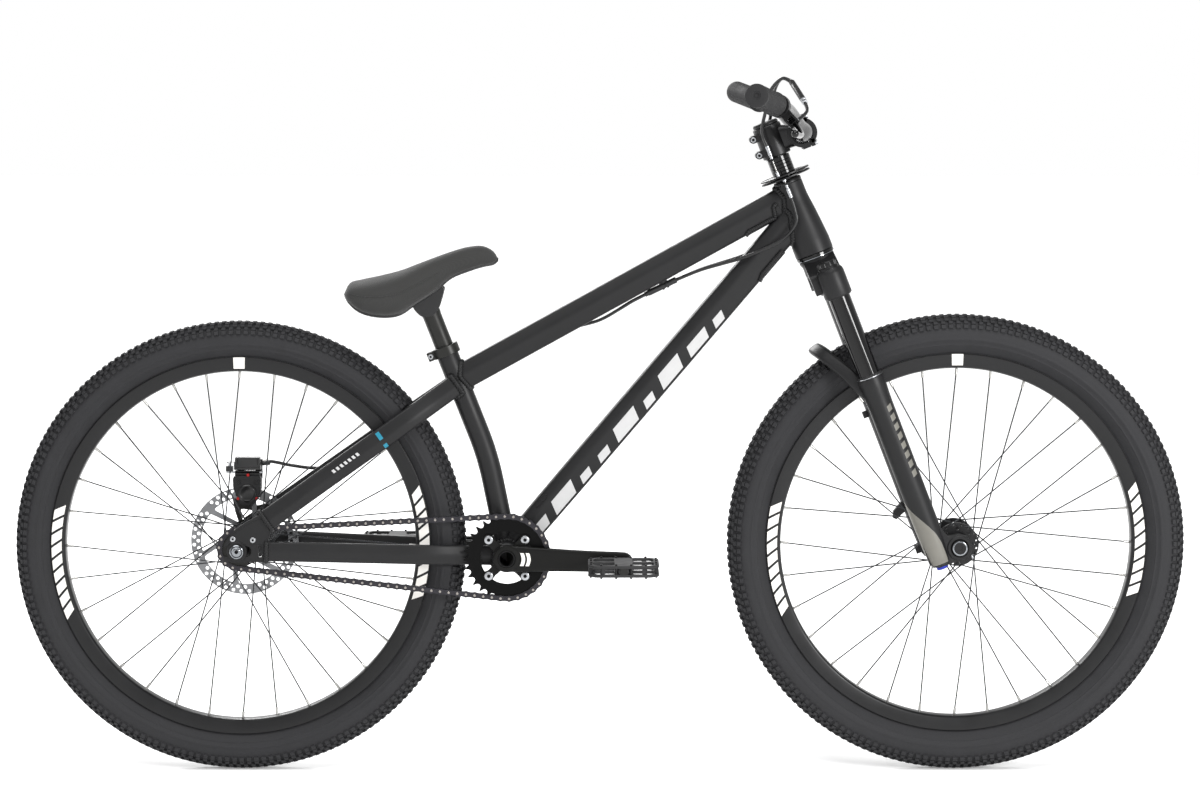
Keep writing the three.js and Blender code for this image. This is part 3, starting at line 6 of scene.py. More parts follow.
import json
import math

import bmesh
import bpy
from mathutils import Matrix, Vector
from mathutils.bvhtree import BVHTree
from mathutils.geometry import tessellate_polygon


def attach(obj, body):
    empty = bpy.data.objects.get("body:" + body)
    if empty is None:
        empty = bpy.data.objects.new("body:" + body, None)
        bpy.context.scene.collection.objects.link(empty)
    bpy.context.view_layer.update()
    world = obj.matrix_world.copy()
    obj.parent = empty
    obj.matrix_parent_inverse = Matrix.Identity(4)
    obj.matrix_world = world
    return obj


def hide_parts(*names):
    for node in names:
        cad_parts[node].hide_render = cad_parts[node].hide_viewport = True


bl_info = {
    "name": "Dirt Jump Bike",
    "version": (1, 0, 0),
    "blender": (4, 5, 0),
    "location": "3D View > Sidebar > Bike",
    "description": "Builds the bike's detailed pieces on its CAD frame, and the studio it stands in",
    "category": "Add Mesh",
}

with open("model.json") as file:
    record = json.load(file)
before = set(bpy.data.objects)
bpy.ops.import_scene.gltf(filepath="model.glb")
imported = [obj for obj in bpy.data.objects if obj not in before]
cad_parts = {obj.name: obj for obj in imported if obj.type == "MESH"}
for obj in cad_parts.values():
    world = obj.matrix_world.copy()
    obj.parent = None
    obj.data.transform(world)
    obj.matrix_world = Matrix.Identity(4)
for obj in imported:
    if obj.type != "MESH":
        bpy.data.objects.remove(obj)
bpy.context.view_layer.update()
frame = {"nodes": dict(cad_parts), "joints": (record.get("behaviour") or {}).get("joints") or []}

MM = 0.001
TURN = 2 * math.pi
X, Y, Z = Vector((1, 0, 0)), Vector((0, 1, 0)), Vector((0, 0, 1))
SIDES = (("right", -1), ("left", 1))


# Places that come from the CAD's joints

joints = {joint["name"]: joint for joint in frame["joints"]}


def joint_place(name):
    return Vector(joints[name]["pos_m"]) / MM


def joint_axis(name):
    return Vector(joints[name]["axis"]).normalized()


def axes(origin, x, y, z):
    """The matrix of a local frame with these axes, standing at origin."""
    made = Matrix((x, y, z)).transposed().to_4x4()
    made.translation = origin
    return made


def along(origin, direction):
    """A local frame whose Z runs along direction."""
    made = direction.to_track_quat("Z", "Y").to_matrix().to_4x4()
    made.translation = origin
    return made


def side_on(origin):
    """A local frame for plates that stand fore and aft: X, height, and thickness across the bike."""
    return axes(origin, X, Z, Y)


def outward(origin, side, ahead=X, up=Z):
    """A local frame whose Z points out of one side of the bike."""
    return axes(origin, ahead, -side * up, side * Y)


FLAT = side_on(Vector())
rear_axle = joint_place("rear_wheel_spin")
front_axle = joint_place("front_wheel_spin")
bracket = joint_place("crank_spin")
steer_up = joint_axis("steering_turn")
steer_ahead = Y.cross(steer_up)
STEERING = axes(joint_place("steering_turn"), steer_ahead, Y, steer_up)
seat_up = joint_axis("seat_height")
seat_ahead = Y.cross(seat_up)
post_head = joint_place("saddle_tilt")
POST_SHOWN, SEAT_STRAIGHT, TOP_TUBE_UP = 64, 173.6, 121
TOP_TUBE_JOINT, DOWN_TUBE_JOINT = 564, 537
seat_top = post_head - POST_SHOWN * seat_up
seat_bend = seat_top - SEAT_STRAIGHT * seat_up
top_tube_rear = seat_bend + TOP_TUBE_UP * seat_up


def on_steering(ahead, across, up):
    return STEERING @ Vector((ahead, across, up))


top_tube_front = on_steering(0, 0, TOP_TUBE_JOINT)
down_tube_front = on_steering(0, 0, DOWN_TUBE_JOINT)


# Mesh builders

def circle(radius, count=24, x=0.0, y=0.0, start=0.0):
    return [
        (x + radius * math.cos(start + TURN * k / count), y + radius * math.sin(start + TURN * k / count))
        for k in range(count)
    ]


def arc(radius, degrees, x=0.0, y=0.0):
    """The places on a circle at these angles in degrees."""
    angles = [math.radians(d) for d in degrees]
    return [(x + radius * math.cos(a), y + radius * math.sin(a)) for a in angles]


def mirrored(half):
    """A lathe's profile from one half of it."""
    return half + [(radius, -height) for radius, height in reversed(half)]


def eased(share):
    """A share from 0 to 1 that starts and ends gently."""
    return 3 * share ** 2 - 2 * share ** 3


def soft_box(width, depth, power=2.8, count=40):
    """A tube's section between an oval, at power 2, and a box."""
    points = []
    for k in range(count):
        angle = TURN * (k + 0.5) / count
        c, s = math.cos(angle), math.sin(angle)
        points.append((
            math.copysign(abs(c) ** (2 / power), c) * width / 2,
            math.copysign(abs(s) ** (2 / power), s) * depth / 2,
        ))
    return points


def loft(mesh, rings, closed=False):
    rows = [[mesh.verts.new(place) for place in ring] for ring in rings]
    for a, b in zip(rows, rows[1:] + (rows[:1] if closed else [])):
        for k in range(len(a)):
            n = (k + 1) % len(a)
            mesh.faces.new((a[k], a[n], b[n], b[k]))
    if not closed:
        mesh.faces.new(rows[0])
        mesh.faces.new(rows[-1])


def lathe(mesh, profile, place, count=48, closed=False):
    """Turns (radius, along) pairs about the local Z axis."""
    rings = [
        [place @ Vector((x, y, height)) for x, y in circle(radius, count)] for radius, height in profile
    ]
    loft(mesh, rings, closed)


def hoop(mesh, profile, place, count=48):
    """Turns a closed section of (radius, along) pairs into a hollow ring."""
    lathe(mesh, profile, place, count, True)


def rod(mesh, start, end, radius, count=24, edge=0.4):
    """A round bar between two points, with its ends chamfered."""
    length = (end - start).length
    profile = [(radius - edge, 0), (radius, edge), (radius, length - edge), (radius - edge, length)]
    lathe(mesh, profile, along(start, (end - start).normalized()), count)


def stations(path, section, side=Y, swell=None, carried=False, closed=False):
    """A section of (side, deep) points at each place of a path; swell gives its size at a share of it."""
    rings, last, across = [], len(path) - 1, side
    for i, place in enumerate(path):
        before, after = (i - 1, (i + 1) % len(path)) if closed else (max(i - 1, 0), min(i + 1, last))
        ahead = (path[after] - path[before]).normalized()
        base = across if carried else side
        across = (base - base.dot(ahead) * ahead).normalized()
        deep = ahead.cross(across)
        wide, tall = swell(i / last) if swell else (1, 1)
        rings.append([place + u * wide * across + v * tall * deep for u, v in section])
    return rings


def sweep(mesh, path, section, side=Y, swell=None, carried=False, closed=False):
    rings = stations(path, section, side, swell, carried, closed)
    loft(mesh, rings, closed)
    return rings


def plate(mesh, outline, low, high, place, holes=()):
    """A flat plate with holes through it, between two heights along the local Z axis."""
    loops = [outline, *holes]
    flat = [[Vector((a, b, 0)) for a, b in loop] for loop in loops]
    points = [point for loop in flat for point in loop]
    sheets = [
        [mesh.verts.new(place @ Vector((p.x, p.y, height))) for p in points] for height in sorted((low, high))
    ]
    for triangle in tessellate_polygon(flat):
        for sheet in sheets:
            mesh.faces.new([sheet[i] for i in triangle])
    start = 0
    for loop in loops:
        for k in range(len(loop)):
            a, b = start + k, start + (k + 1) % len(loop)
            mesh.faces.new((sheets[0][a], sheets[0][b], sheets[1][b], sheets[1][a]))
        start += len(loop)


def block(mesh, low, high, place=Matrix.Identity(4)):
    """A box between two corners of a local frame; the piece that holds it may give it a bevel."""
    low, high = zip(*(sorted(pair) for pair in zip(low, high)))
    outline = [(low[0], low[1]), (high[0], low[1]), (high[0], high[1]), (low[0], high[1])]
    rings = [[place @ Vector((x, y, z)) for x, y in outline] for z in (low[2], high[2])]
    loft(mesh, rings)


def rounded(outline, radius, steps=4):
    """The outline with each corner rounded."""
    made, count = [], len(outline)
    for i in range(count):
        here = Vector(outline[i])
        before, after = Vector(outline[i - 1]) - here, Vector(outline[(i + 1) % count]) - here
        enter = here + before.normalized() * min(radius, before.length / 2)
        leave = here + after.normalized() * min(radius, after.length / 2)
        for k in range(steps + 1):
            t = k / steps
            made.append(tuple((1 - t) ** 2 * enter + 2 * t * (1 - t) * here + t * t * leave))
    return made


def curve_through(points, step=4.0):
    """A smooth line through the points, the centripetal Catmull-Rom curve that the CAD uses."""
    points = [Vector(p) for p in points]
    ends = [2 * points[0] - points[1], *points, 2 * points[-1] - points[-2]]
    made = []
    for i in range(1, len(ends) - 2):
        p0, p1, p2, p3 = ends[i - 1:i + 3]
        t0 = 0.0
        t1 = t0 + (p1 - p0).length ** 0.5
        t2 = t1 + (p2 - p1).length ** 0.5
        t3 = t2 + (p3 - p2).length ** 0.5
        count = max(2, round((p2 - p1).length / step))
        for k in range(count):
            t = t1 + (t2 - t1) * k / count
            a1 = (t1 - t) / (t1 - t0) * p0 + (t - t0) / (t1 - t0) * p1
            a2 = (t2 - t) / (t2 - t1) * p1 + (t - t1) / (t2 - t1) * p2
            a3 = (t3 - t) / (t3 - t2) * p2 + (t - t2) / (t3 - t2) * p3
            b1 = (t2 - t) / (t2 - t0) * a1 + (t - t0) / (t2 - t0) * a2
            b2 = (t3 - t) / (t3 - t1) * a2 + (t - t1) / (t3 - t1) * a3
            made.append((t2 - t) / (t2 - t1) * b1 + (t - t1) / (t2 - t1) * b2)
    return [*made, points[-1]]


def bent_line(points, share, steps):
    """Straight runs joined by round bends, each taking its share of the shorter run beside it."""
    made = [points[0]]
    for before, here, after in zip(points, points[1:], points[2:]):
        reach = share * min((before - here).length, (after - here).length)
        enter = here + (before - here).normalized() * reach
        leave = here + (after - here).normalized() * reach
        for k in range(steps + 1):
            t = k / steps
            made.append((1 - t) ** 2 * enter + 2 * t * (1 - t) * here + t * t * leave)
    return [*made, points[-1]]


def socket_bolt(mesh, seat, direction, radius, height, socket=0.5, floor=None):
    """A cap screw's head with a six-sided socket; seat is the middle of its underside.

    floor is a mesh for a dark disc at the socket's bottom: painted shade that keeps the recess dark beside
    the bright head.
    """
    place, key = along(seat, direction), radius * socket
    rings = []
    for size, up, six in (
        (radius, 0, False), (radius, 0.8 * height, False), (0.9 * radius, height, False),
        (key, height, True), (key, 0.35 * height, True), (0.1 * key, 0.35 * height, False),
    ):
        ring = []
        for k in range(24):
            angle = TURN * k / 24
            flat = math.cos(math.pi / 6) / math.cos(angle % (math.pi / 3) - math.pi / 6)
            reach = size * flat if six else size
            ring.append(place @ Vector((reach * math.cos(angle), reach * math.sin(angle), up)))
        rings.append(ring)
    loft(mesh, rings)
    # A dark disc near the socket's bottom is painted shade for the recess
    if floor:
        lift = direction * height
        rod(floor, seat + lift * 0.3, seat + lift * 0.35 + direction * 0.3, 0.84 * key, 12, 0)


def piece(name, mesh, finish, body, slot, replaces=(), crease=40, bevel=0.0):
    """Makes the object of a mesh built in millimetres, in a finish by its name, riding on a CAD body."""
    for vert in mesh.verts:
        vert.co *= MM
    bmesh.ops.remove_doubles(mesh, verts=mesh.verts, dist=0.002 * MM)
    bmesh.ops.recalc_face_normals(mesh, faces=mesh.faces)
    data = bpy.data.meshes.new(name)
    mesh.to_mesh(data)
    mesh.free()
    data.materials.append(FINISHES[finish])
    data.shade_smooth()
    made = bpy.data.objects.new(name, data)
    bpy.context.scene.collection.objects.link(made)
    if bevel:
        edge = made.modifiers.new("Edge", "BEVEL")
        edge.width, edge.segments, edge.limit_method = bevel * MM, 2, "ANGLE"
        edge.angle_limit, edge.harden_normals = math.radians(32), True
    else:
        data.set_sharp_from_angle(angle=math.radians(crease))
    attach(made, body)
    if replaces:
        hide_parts(*replaces)
    return made


def search_tree(*pieces):
    """The faces of some pieces, for finding where a line meets them."""
    verts, faces = [], []
    for made in pieces:
        base = len(verts)
        verts += [vert.co / MM for vert in made.data.vertices]
        faces += [[base + i for i in face.vertices] for face in made.data.polygons]
    return BVHTree.FromPolygons(verts, faces)


def meet(tree, points, direction, reach):
    """Where lines from the points along direction meet the tree; a line that misses goes on to its reach."""
    hits = [tree.ray_cast(point, direction, reach)[0] for point in points]
    return [hit or point + direction * reach for hit, point in zip(hits, points)]


def even_loop(points, step):
    """A closed line through the points again, with evenly spaced places."""
    lengths = [(points[(i + 1) % len(points)] - p).length for i, p in enumerate(points)]
    count = max(12, round(sum(lengths) / step))
    made, i, passed = [], 0, 0.0
    for k in range(count):
        place = sum(lengths) * k / count
        while passed + lengths[i] < place:
            passed += lengths[i]
            i += 1
        share = (place - passed) / max(lengths[i], 1e-9)
        made.append(points[i].lerp(points[(i + 1) % len(points)], share))
    return made


def weld_bead(mesh, path, axis, radius, closed=False):
    """A weld's row of overlapping ripples, each four places of the path long."""
    sizes = [radius * (1 + swing) for swing in (0.2, 0.05, -0.14, 0.05)]
    last = len(path) - 1
    sweep(mesh, path, circle(1, 8), axis, lambda share: (sizes[round(share * last) % 4],) * 2, closed=closed)


def weld_loop(mesh, points, axis, radius, pitch):
    """A weld bead all round a joint."""
    weld_bead(mesh, even_loop(points, pitch / 4), axis, radius, True)


# Finishes

def colour(code):
    """The linear colour of an sRGB hex value."""
    parts = [int(code[i:i + 2], 16) / 255 for i in (1, 3, 5)]
    return tuple(c / 12.92 if c <= 0.04045 else ((c + 0.055) / 1.055) ** 2.4 for c in parts)


COLOUR = {"subtype": "COLOR", "size": 3, "min": 0, "max": 1}


def node(tree, kind, inputs=None, **settings):
    """Adds a shader node with its settings; each input takes a value or another node's output."""
    made = tree.nodes.new(kind)
    for name, value in settings.items():
        setattr(made, name, value)
    for name, value in (inputs or {}).items():
        if isinstance(value, bpy.types.NodeSocket):
            tree.links.new(value, made.inputs[name])
        else:
            made.inputs[name].default_value = value
    return made


def surface(name, tint, rough, shade=0.8, drift=0.06, mottle=30.0, grain=0.6, relief=0.02, metal=0.0,
            pattern=None, depth=0.3, **constants):
    """A finish whose tint and roughness drift with a soft mottle over a fine grain.

    shade is how dark the darkest tint is beside the lightest. mottle, grain, relief and depth are in
    millimetres: the size of the drift, the size and height of the grain, and the height of the pattern.
    pattern adds nodes to the tree and gives back a height, which bumps the surface and darkens the tint in
    its low parts as painted shade. The constants are values of the shader's sockets.
    """
    made = bpy.data.materials.new(name)
    made.use_nodes = True
    tree = made.node_tree
    shader = tree.nodes["Principled BSDF"]
    where = node(tree, "ShaderNodeTexCoord").outputs["Object"]
    soft, fine = (
        node(tree, "ShaderNodeTexNoise", {"Vector": where, "Scale": 1 / (size * MM),
                                          "Detail": detail}).outputs[0]
        for size, detail in ((mottle, 4.0), (grain, 2.0))
    )
    spread = node(tree, "ShaderNodeMapRange", {
        "Value": soft, "From Min": 0.3, "From Max": 0.7, "To Min": 0.0, "To Max": 1.0,
    }).outputs[0]
    dark = [c * shade for c in tint]
    blend = node(tree, "ShaderNodeMix", {0: spread, 6: (*dark, 1), 7: (*tint, 1)},
                 data_type="RGBA").outputs[2]
    gloss = node(tree, "ShaderNodeMapRange", {
        "Value": soft, "From Min": 0.3, "From Max": 0.7, "To Min": rough - drift, "To Max": rough + drift,
    }).outputs[0]
    bump = node(tree, "ShaderNodeBump", {"Height": fine, "Distance": relief * MM, "Strength": 1.0})
    if pattern:
        height = pattern(tree, where)
        bump = node(tree, "ShaderNodeBump", {
            "Height": height, "Distance": depth * MM, "Strength": 1.0, "Normal": bump.outputs[0],
        })
        # The pattern's low parts get a darker tint: painted shade in its hollows
        low = node(tree, "ShaderNodeMapRange", {"Value": height, "To Min": 0.82, "To Max": 1.0}).outputs[0]
        blend = node(tree, "ShaderNodeMix", {0: 1.0, 6: blend, 7: low}, data_type="RGBA",
                     blend_type="MULTIPLY").outputs[2]
    shader.inputs["Metallic"].default_value = metal
    for socket, value in constants.items():
        shader.inputs[socket.replace("_", " ").title().replace("Ior", "IOR")].default_value = value
    tree.links.new(blend, shader.inputs["Base Color"])
    tree.links.new(gloss, shader.inputs["Roughness"])
    tree.links.new(bump.outputs[0], shader.inputs["Normal"])
    return made


def wave(tree, where, pitch, direction):
    """Bands of this pitch in millimetres: a wave texture of scale 1 repeats every TURN / 20 metres."""
    return node(tree, "ShaderNodeTexWave", {"Vector": where, "Scale": TURN / 20 / (pitch * MM)},
                wave_type="BANDS", bands_direction=direction).outputs[1]


def woven(tree, where):
    # Threads 1.1 mm apart, twice as coarse as the real cover's so that they show in a close view
    across, lengthwise = wave(tree, where, 1.1, "Y"), wave(tree, where, 1.1, "X")
    return node(tree, "ShaderNodeMath", {0: across, 1: lengthwise}, operation="MULTIPLY").outputs[0]


def turned_lines(tree, where):
    # Fine rings 0.9 mm apart round the rear axle, as a grinding wheel leaves them
    centred = node(tree, "ShaderNodeMapping", {
        "Vector": where, "Location": tuple(-rear_axle * MM),
    }).outputs[0]
    return node(tree, "ShaderNodeTexWave", {
        "Vector": centred, "Scale": TURN / 20 / (0.9 * MM), "Distortion": 1.5, "Detail": 1.0,
    }, wave_type="RINGS", rings_direction="Y").outputs[1]


def moulded_pores(tree, where):
    # Pores 1.5 mm apart from the mould's blasted steel
    return node(tree, "ShaderNodeTexVoronoi", {"Vector": where, "Scale": 1 / (1.5 * MM)}).outputs[0]


FINISHES = {}


def make_finishes(paint, prints):
    """All the bike's materials, by the names of what they are."""
    FINISHES.update({
        # Powder coated aluminium: baked matt, with a faint orange peel that softens every highlight
        "powder_coat": surface(
            "powder_coated_aluminium", paint.frame, 0.43, 0.86, 0.05, 60, 1.4, 0.018,
            specular_ior_level=0.27),
        # Black anodised aluminium: a dyed oxide skin, so the metal's edges glint under a satin black
        "anodised": surface(
            "black_anodised_aluminium", paint.anodised, 0.36, 0.85, 0.05, 40, 0.5, 0.006, 0.45),
        # Hard anodised fork tube: ground and dyed, so it mirrors a light as one clean line
        "fork_tube": surface(
            "gloss_black_fork_tube", colour("#060607"), 0.2, 0.9, 0.02, 50, 0.4, 0.001,
            specular_ior_level=0.05, coat_weight=0.6, coat_roughness=0.04),
        # Gloss enamelled handlebar: black under a clear coat, so its bends catch whole windows of light
        "gloss_bar": surface(
            "gloss_enamelled_bar", colour("#0a0a0b"), 0.24, 0.9, 0.02, 50, 0.5, 0.002,
            specular_ior_level=0.15, coat_weight=0.5, coat_roughness=0.06),
        # Hard anodised sprocket: a deep black dye with a satin edge; the dark discs of painted shade in the
        # bolts' sockets use it too
        "sprocket": surface(
            "hard_anodised_sprocket", colour("#060606"), 0.36, 0.85, 0.05, 40, 0.5, 0.006,
            specular_ior_level=0.1),
        # Hot forged and dyed crank: a deeper black than the post's, with a long faint sheen
        "crank": surface(
            "dyed_crank_forging", paint.crank, 0.4, 0.8, 0.07, 35, 0.8, 0.012, specular_ior_level=0.16),
        # Forged aluminium: shot peened, then dyed a warm grey black with a low sheen
        "forged": surface(
            "forged_aluminium", paint.forged, 0.4, 0.8, 0.07, 35, 0.8, 0.012, 0.3, specular_ior_level=0.35),
        # Vulcanised tyre rubber: dull and pored, greyer where it is scuffed
        "tyre": surface(
            "vulcanised_tyre_rubber", paint.tyre, 0.72, 0.78, 0.08, 24, 0.7, 0.03, pattern=moulded_pores,
            depth=0.03, specular_ior_level=0.25),
        # Soft grip rubber: a closed matt skin that drinks light
        "grip": surface(
            "soft_grip_rubber", colour("#242425"), 0.68, 0.85, 0.06, 18, 0.5, 0.03, specular_ior_level=0.3),
        # Extruded cable cover: smooth plastic with a narrow sheen
        "cable": surface("extruded_cable_cover", colour("#141415"), 0.34, 0.85, 0.05, 25, 0.6, 0.006),
        # Black oxide stainless wire: dark, with a thin bright line of light down each spoke
        "spoke": surface("black_oxide_spoke_wire", colour("#3a3b3d"), 0.32, 0.8, 0.06, 30, 0.5, 0.004, 0.9),
        # Nickel plated brass: pale and slightly warm
        "nipple": surface("nickel_plated_brass", colour("#b5b4b1"), 0.3, 0.85, 0.05, 12, 0.5, 0.004, 1.0),
        # Ground stainless steel: circular grinding lines that stretch the highlight
        "rotor": surface(
            "ground_stainless_steel", colour("#8b8c8e"), 0.3, 0.82, 0.06, 20, 0.5, 0.004, 1.0,
            pattern=turned_lines, depth=0.01),
        # Chrome plate: a mirror, very slightly hazed
        "chrome": surface("chrome_plated_steel", colour("#8f9296"), 0.16, 0.9, 0.03, 20, 0.5, 0.002, 1.0),
        # Zinc plated screws: bright but grainy
        "zinc": surface("zinc_plated_screw", colour("#b4b6b9"), 0.3, 0.8, 0.07, 8, 0.4, 0.006, 1.0),
        # Blued chain plate under a film of oil: dark brown black, glossy in patches
        "chain": surface("oiled_chain_plate", paint.chain, 0.34, 0.7, 0.1, 6, 0.5, 0.01, 0.85),
        # Polished pin end: a small warm glint
        "pin": surface("polished_chain_pin", colour("#a09b96"), 0.28, 0.85, 0.05, 6, 0.5, 0.004, 1.0),
        # Die cast pedal: blasted and painted, so a dry grey with no clean highlight
        "pedal": surface(
            "die_cast_pedal", paint.pedal, 0.55, 0.82, 0.07, 14, 0.6, 0.03, 0.1, specular_ior_level=0.35),
        # Moulded nylon: smooth, with the soft gloss of a polished mould
        "nylon": surface("moulded_nylon_shell", colour("#121213"), 0.28, 0.85, 0.05, 25, 0.8, 0.006),
        # Woven saddle cover: matt threads with a faint sheen where the cloth turns away
        "cover": surface(
            "woven_saddle_cover", paint.saddle, 0.85, 0.86, 0.04, 30, 0.9, 0.03, pattern=woven, depth=0.16,
            sheen_weight=0.08, sheen_roughness=0.5),
        # Screen printed inks: flat colour, a little glossier than the paint under them
        "white_ink": surface("white_printing_ink", prints.rim_print, 0.45, 0.94, 0.03, 20, 0.6, 0.004),
        "grey_ink": surface("grey_printing_ink", prints.frame_print, 0.5, 0.94, 0.03, 20, 0.6, 0.004),
        "fork_ink": surface("warm_grey_printing_ink", prints.fork_panel, 0.42, 0.9, 0.03, 20, 0.6, 0.004),
        "teal_ink": surface("teal_printing_ink", prints.stay_band, 0.45, 0.94, 0.03, 20, 0.6, 0.004),
        # Dyed anodised trim: clear colour with metal under it
        "red_trim": surface("red_anodised_trim", colour("#b01e1e"), 0.35, 0.8, 0.05, 8, 0.5, 0.004, 0.6),
        "blue_trim": surface("blue_anodised_trim", colour("#27349b"), 0.35, 0.8, 0.05, 8, 0.5, 0.004, 0.6),
    })


# The studio

LENS, SENSOR = 112.8, 36.0
CAMERA_PLACE, CAMERA_TILT = (0.0, -5.504, 1.0355), math.radians(84.926)
FLOOR_HALF, FLOOR_GRID = 30, 24
KEY_PLACE, KEY_AIM, KEY_SPREAD = (-0.6, -1.7, 4.6), (0, 0, 0.45), math.radians(50)
STRIP_PLACE, STRIP_AIM, STRIP_SIZE = (2.6, -3.02, 1.57), (0.35, -0.07, 0.78), (1.4, 0.8)
BACK_PLACE, BACK_AIM, BACK_SIZE = (-1.6, 3.4, 2.6), (0, 0, 0.5), (2.4, 1.2)


class StageSettings(bpy.types.PropertyGroup):
    """The studio's floor and lights."""

    floor: bpy.props.FloatVectorProperty(
        name="Floor", description="Colour of the studio floor", **COLOUR, default=colour("#fafafa"))
    sun: bpy.props.FloatProperty(
        name="Key light", description="Watts per square metre of the wide soft light overhead", min=0,
        default=2.2)
    strip_power: bpy.props.FloatProperty(
        name="Strip light", description="Power of the tall light that draws a line down the fork",
        unit="POWER", min=0, default=100.0)
    fill: bpy.props.FloatProperty(
        name="Fill", description="Strength of the room's ceiling beside its white walls", min=0,
        max=1, default=0.35)


class BIKE_OT_stage(bpy.types.Operator):
    """Set up the camera, the pale floor and the soft lights"""

    bl_idname = "bike.stage"
    bl_label = "Studio"

    def execute(self, context):
        settings, scene = context.scene.bike_stage, context.scene
        lens = bpy.data.cameras.new("bike_camera")
        lens.lens, lens.sensor_width, lens.clip_end = LENS, SENSOR, 100.0
        camera = bpy.data.objects.new("bike_camera", lens)
        camera.location = CAMERA_PLACE
        camera.rotation_euler = (CAMERA_TILT, 0.0, 0.0)
        scene.collection.objects.link(camera)
        scene.camera = camera
        scene.view_settings.view_transform = "Standard"

        # Seamless paper: smooth and dull, with a little tooth
        paper = surface(
            "studio_paper", settings.floor, 0.85, 0.985, 0.02, 900, 4, 0.02, emission_color=(1, 1, 1, 1),
            emission_strength=0.2)
        ground = bmesh.new()
        bmesh.ops.create_grid(ground, x_segments=FLOOR_GRID, y_segments=FLOOR_GRID, size=FLOOR_HALF)
        data = bpy.data.meshes.new("studio_floor")
        ground.to_mesh(data)
        ground.free()
        data.materials.append(paper)
        floor = bpy.data.objects.new("studio_floor", data)
        scene.collection.objects.link(floor)

        # White walls that fade into a dimmer ceiling, so a tube's sides and top read differently
        world = bpy.data.worlds.new("white_room")
        world.use_nodes = True
        tree = world.node_tree
        back = tree.nodes["Background"]
        back.inputs["Color"].default_value = (1, 1, 1, 1)
        up = node(tree, "ShaderNodeTexCoord").outputs["Generated"]
        up = node(tree, "ShaderNodeSeparateXYZ", {0: up}).outputs["Z"]
        up = node(tree, "ShaderNodeMapRange", {
            "Value": up, "From Min": 0.15, "From Max": 0.5, "To Min": 1.0, "To Max": settings.fill,
        }).outputs[0]
        tree.links.new(up, back.inputs["Strength"])
        scene.world = world

        sun = bpy.data.lights.new("key_light", "SUN")
        sun.energy, sun.angle = settings.sun, KEY_SPREAD
        strip = bpy.data.lights.new("strip_light", "AREA")
        rim = bpy.data.lights.new("back_light", "AREA")
        for lamp, size, share in ((strip, STRIP_SIZE, 1.0), (rim, BACK_SIZE, 1.2)):
            lamp.shape, (lamp.size, lamp.size_y) = "RECTANGLE", size
            lamp.energy = share * settings.strip_power
        for lamp, place, aim in (
            (rim, BACK_PLACE, BACK_AIM), (sun, KEY_PLACE, KEY_AIM), (strip, STRIP_PLACE, STRIP_AIM),
        ):
            light = bpy.data.objects.new(lamp.name, lamp)
            light.location = place
            light.rotation_euler = (Vector(aim) - Vector(place)).to_track_quat("-Z", "Y").to_euler()
            scene.collection.objects.link(light)
        return {"FINISHED"}


# Paint and print colours

class PaintSettings(bpy.types.PropertyGroup):
    """Colours of the bike's materials."""

    frame: bpy.props.FloatVectorProperty(
        name="Frame", description="Powder coat of the frame and fork", **COLOUR, default=colour("#1a1a1b"))
    anodised: bpy.props.FloatVectorProperty(
        name="Anodised parts", description="Dye of the rims, hubs, stem and headset", **COLOUR,
        default=colour("#1a1a1b"))
    crank: bpy.props.FloatVectorProperty(
        name="Cranks", description="Dye of the forged crank arms", **COLOUR, default=colour("#111110"))
    forged: bpy.props.FloatVectorProperty(
        name="Forged parts", description="Dye of the post, collar, cog and brake mount", **COLOUR,
        default=colour("#232321"))
    tyre: bpy.props.FloatVectorProperty(
        name="Tyres", description="Rubber of both tyres", **COLOUR, default=colour("#2e2e30"))
    chain: bpy.props.FloatVectorProperty(
        name="Chain", description="Plates of the chain", **COLOUR, default=colour("#3b3a3e"))
    pedal: bpy.props.FloatVectorProperty(
        name="Pedals", description="Paint of the pedal bodies", **COLOUR, default=colour("#2a2a2b"))
    saddle: bpy.props.FloatVectorProperty(
        name="Saddle", description="Threads of the saddle cover", **COLOUR, default=colour("#2c2c2b"))


class PrintSettings(bpy.types.PropertyGroup):
    """Colours of the plain printed bars."""

    rim_print: bpy.props.FloatVectorProperty(
        name="Rim bars", description="Bars and patches on the rims and cranks", **COLOUR,
        default=colour("#ece9e4"))
    frame_print: bpy.props.FloatVectorProperty(
        name="Frame bars", description="Bars along the down tube", **COLOUR, default=colour("#bcbcbc"))
    fork_panel: bpy.props.FloatVectorProperty(
        name="Fork panel", description="Panel at the foot of each fork leg", **COLOUR,
        default=colour("#6f6d66"))
    stay_band: bpy.props.FloatVectorProperty(
        name="Stay band", description="Band round each seatstay", **COLOUR, default=colour("#0a7a94"))


KEPT_NODES = {"steerer_tube": "anodised"}


class BIKE_OT_finishes(bpy.types.Operator):
    """Make the materials, and give the CAD nodes that stay in sight theirs"""

    bl_idname = "bike.finishes"
    bl_label = "Materials"

    def execute(self, context):
        make_finishes(context.scene.bike_paint, context.scene.bike_prints)
        for name, finish in KEPT_NODES.items():
            kept = frame["nodes"][name]
            kept.data.materials.clear()
            kept.data.materials.append(FINISHES[finish])
        return {"FINISHED"}


# Wheels

class WheelSettings(bpy.types.PropertyGroup):
    """Sizes of the wheels' details."""

    block_height: bpy.props.FloatProperty(
        name="Tread depth", description="Height of the tread blocks above the casing",
        unit="LENGTH", min=0.001, default=3.5 * MM)
    block_rows: bpy.props.IntProperty(
        name="Tread rows", description="Rows of blocks across each tyre", min=5, default=11)
    blocks_round: bpy.props.IntProperty(
        name="Blocks round", description="Blocks in each row", min=60, default=184)
    spoke_diameter: bpy.props.FloatProperty(
        name="Spoke diameter", description="Thickness of the spoke wire", unit="LENGTH", min=0.001,
        default=2.0 * MM)


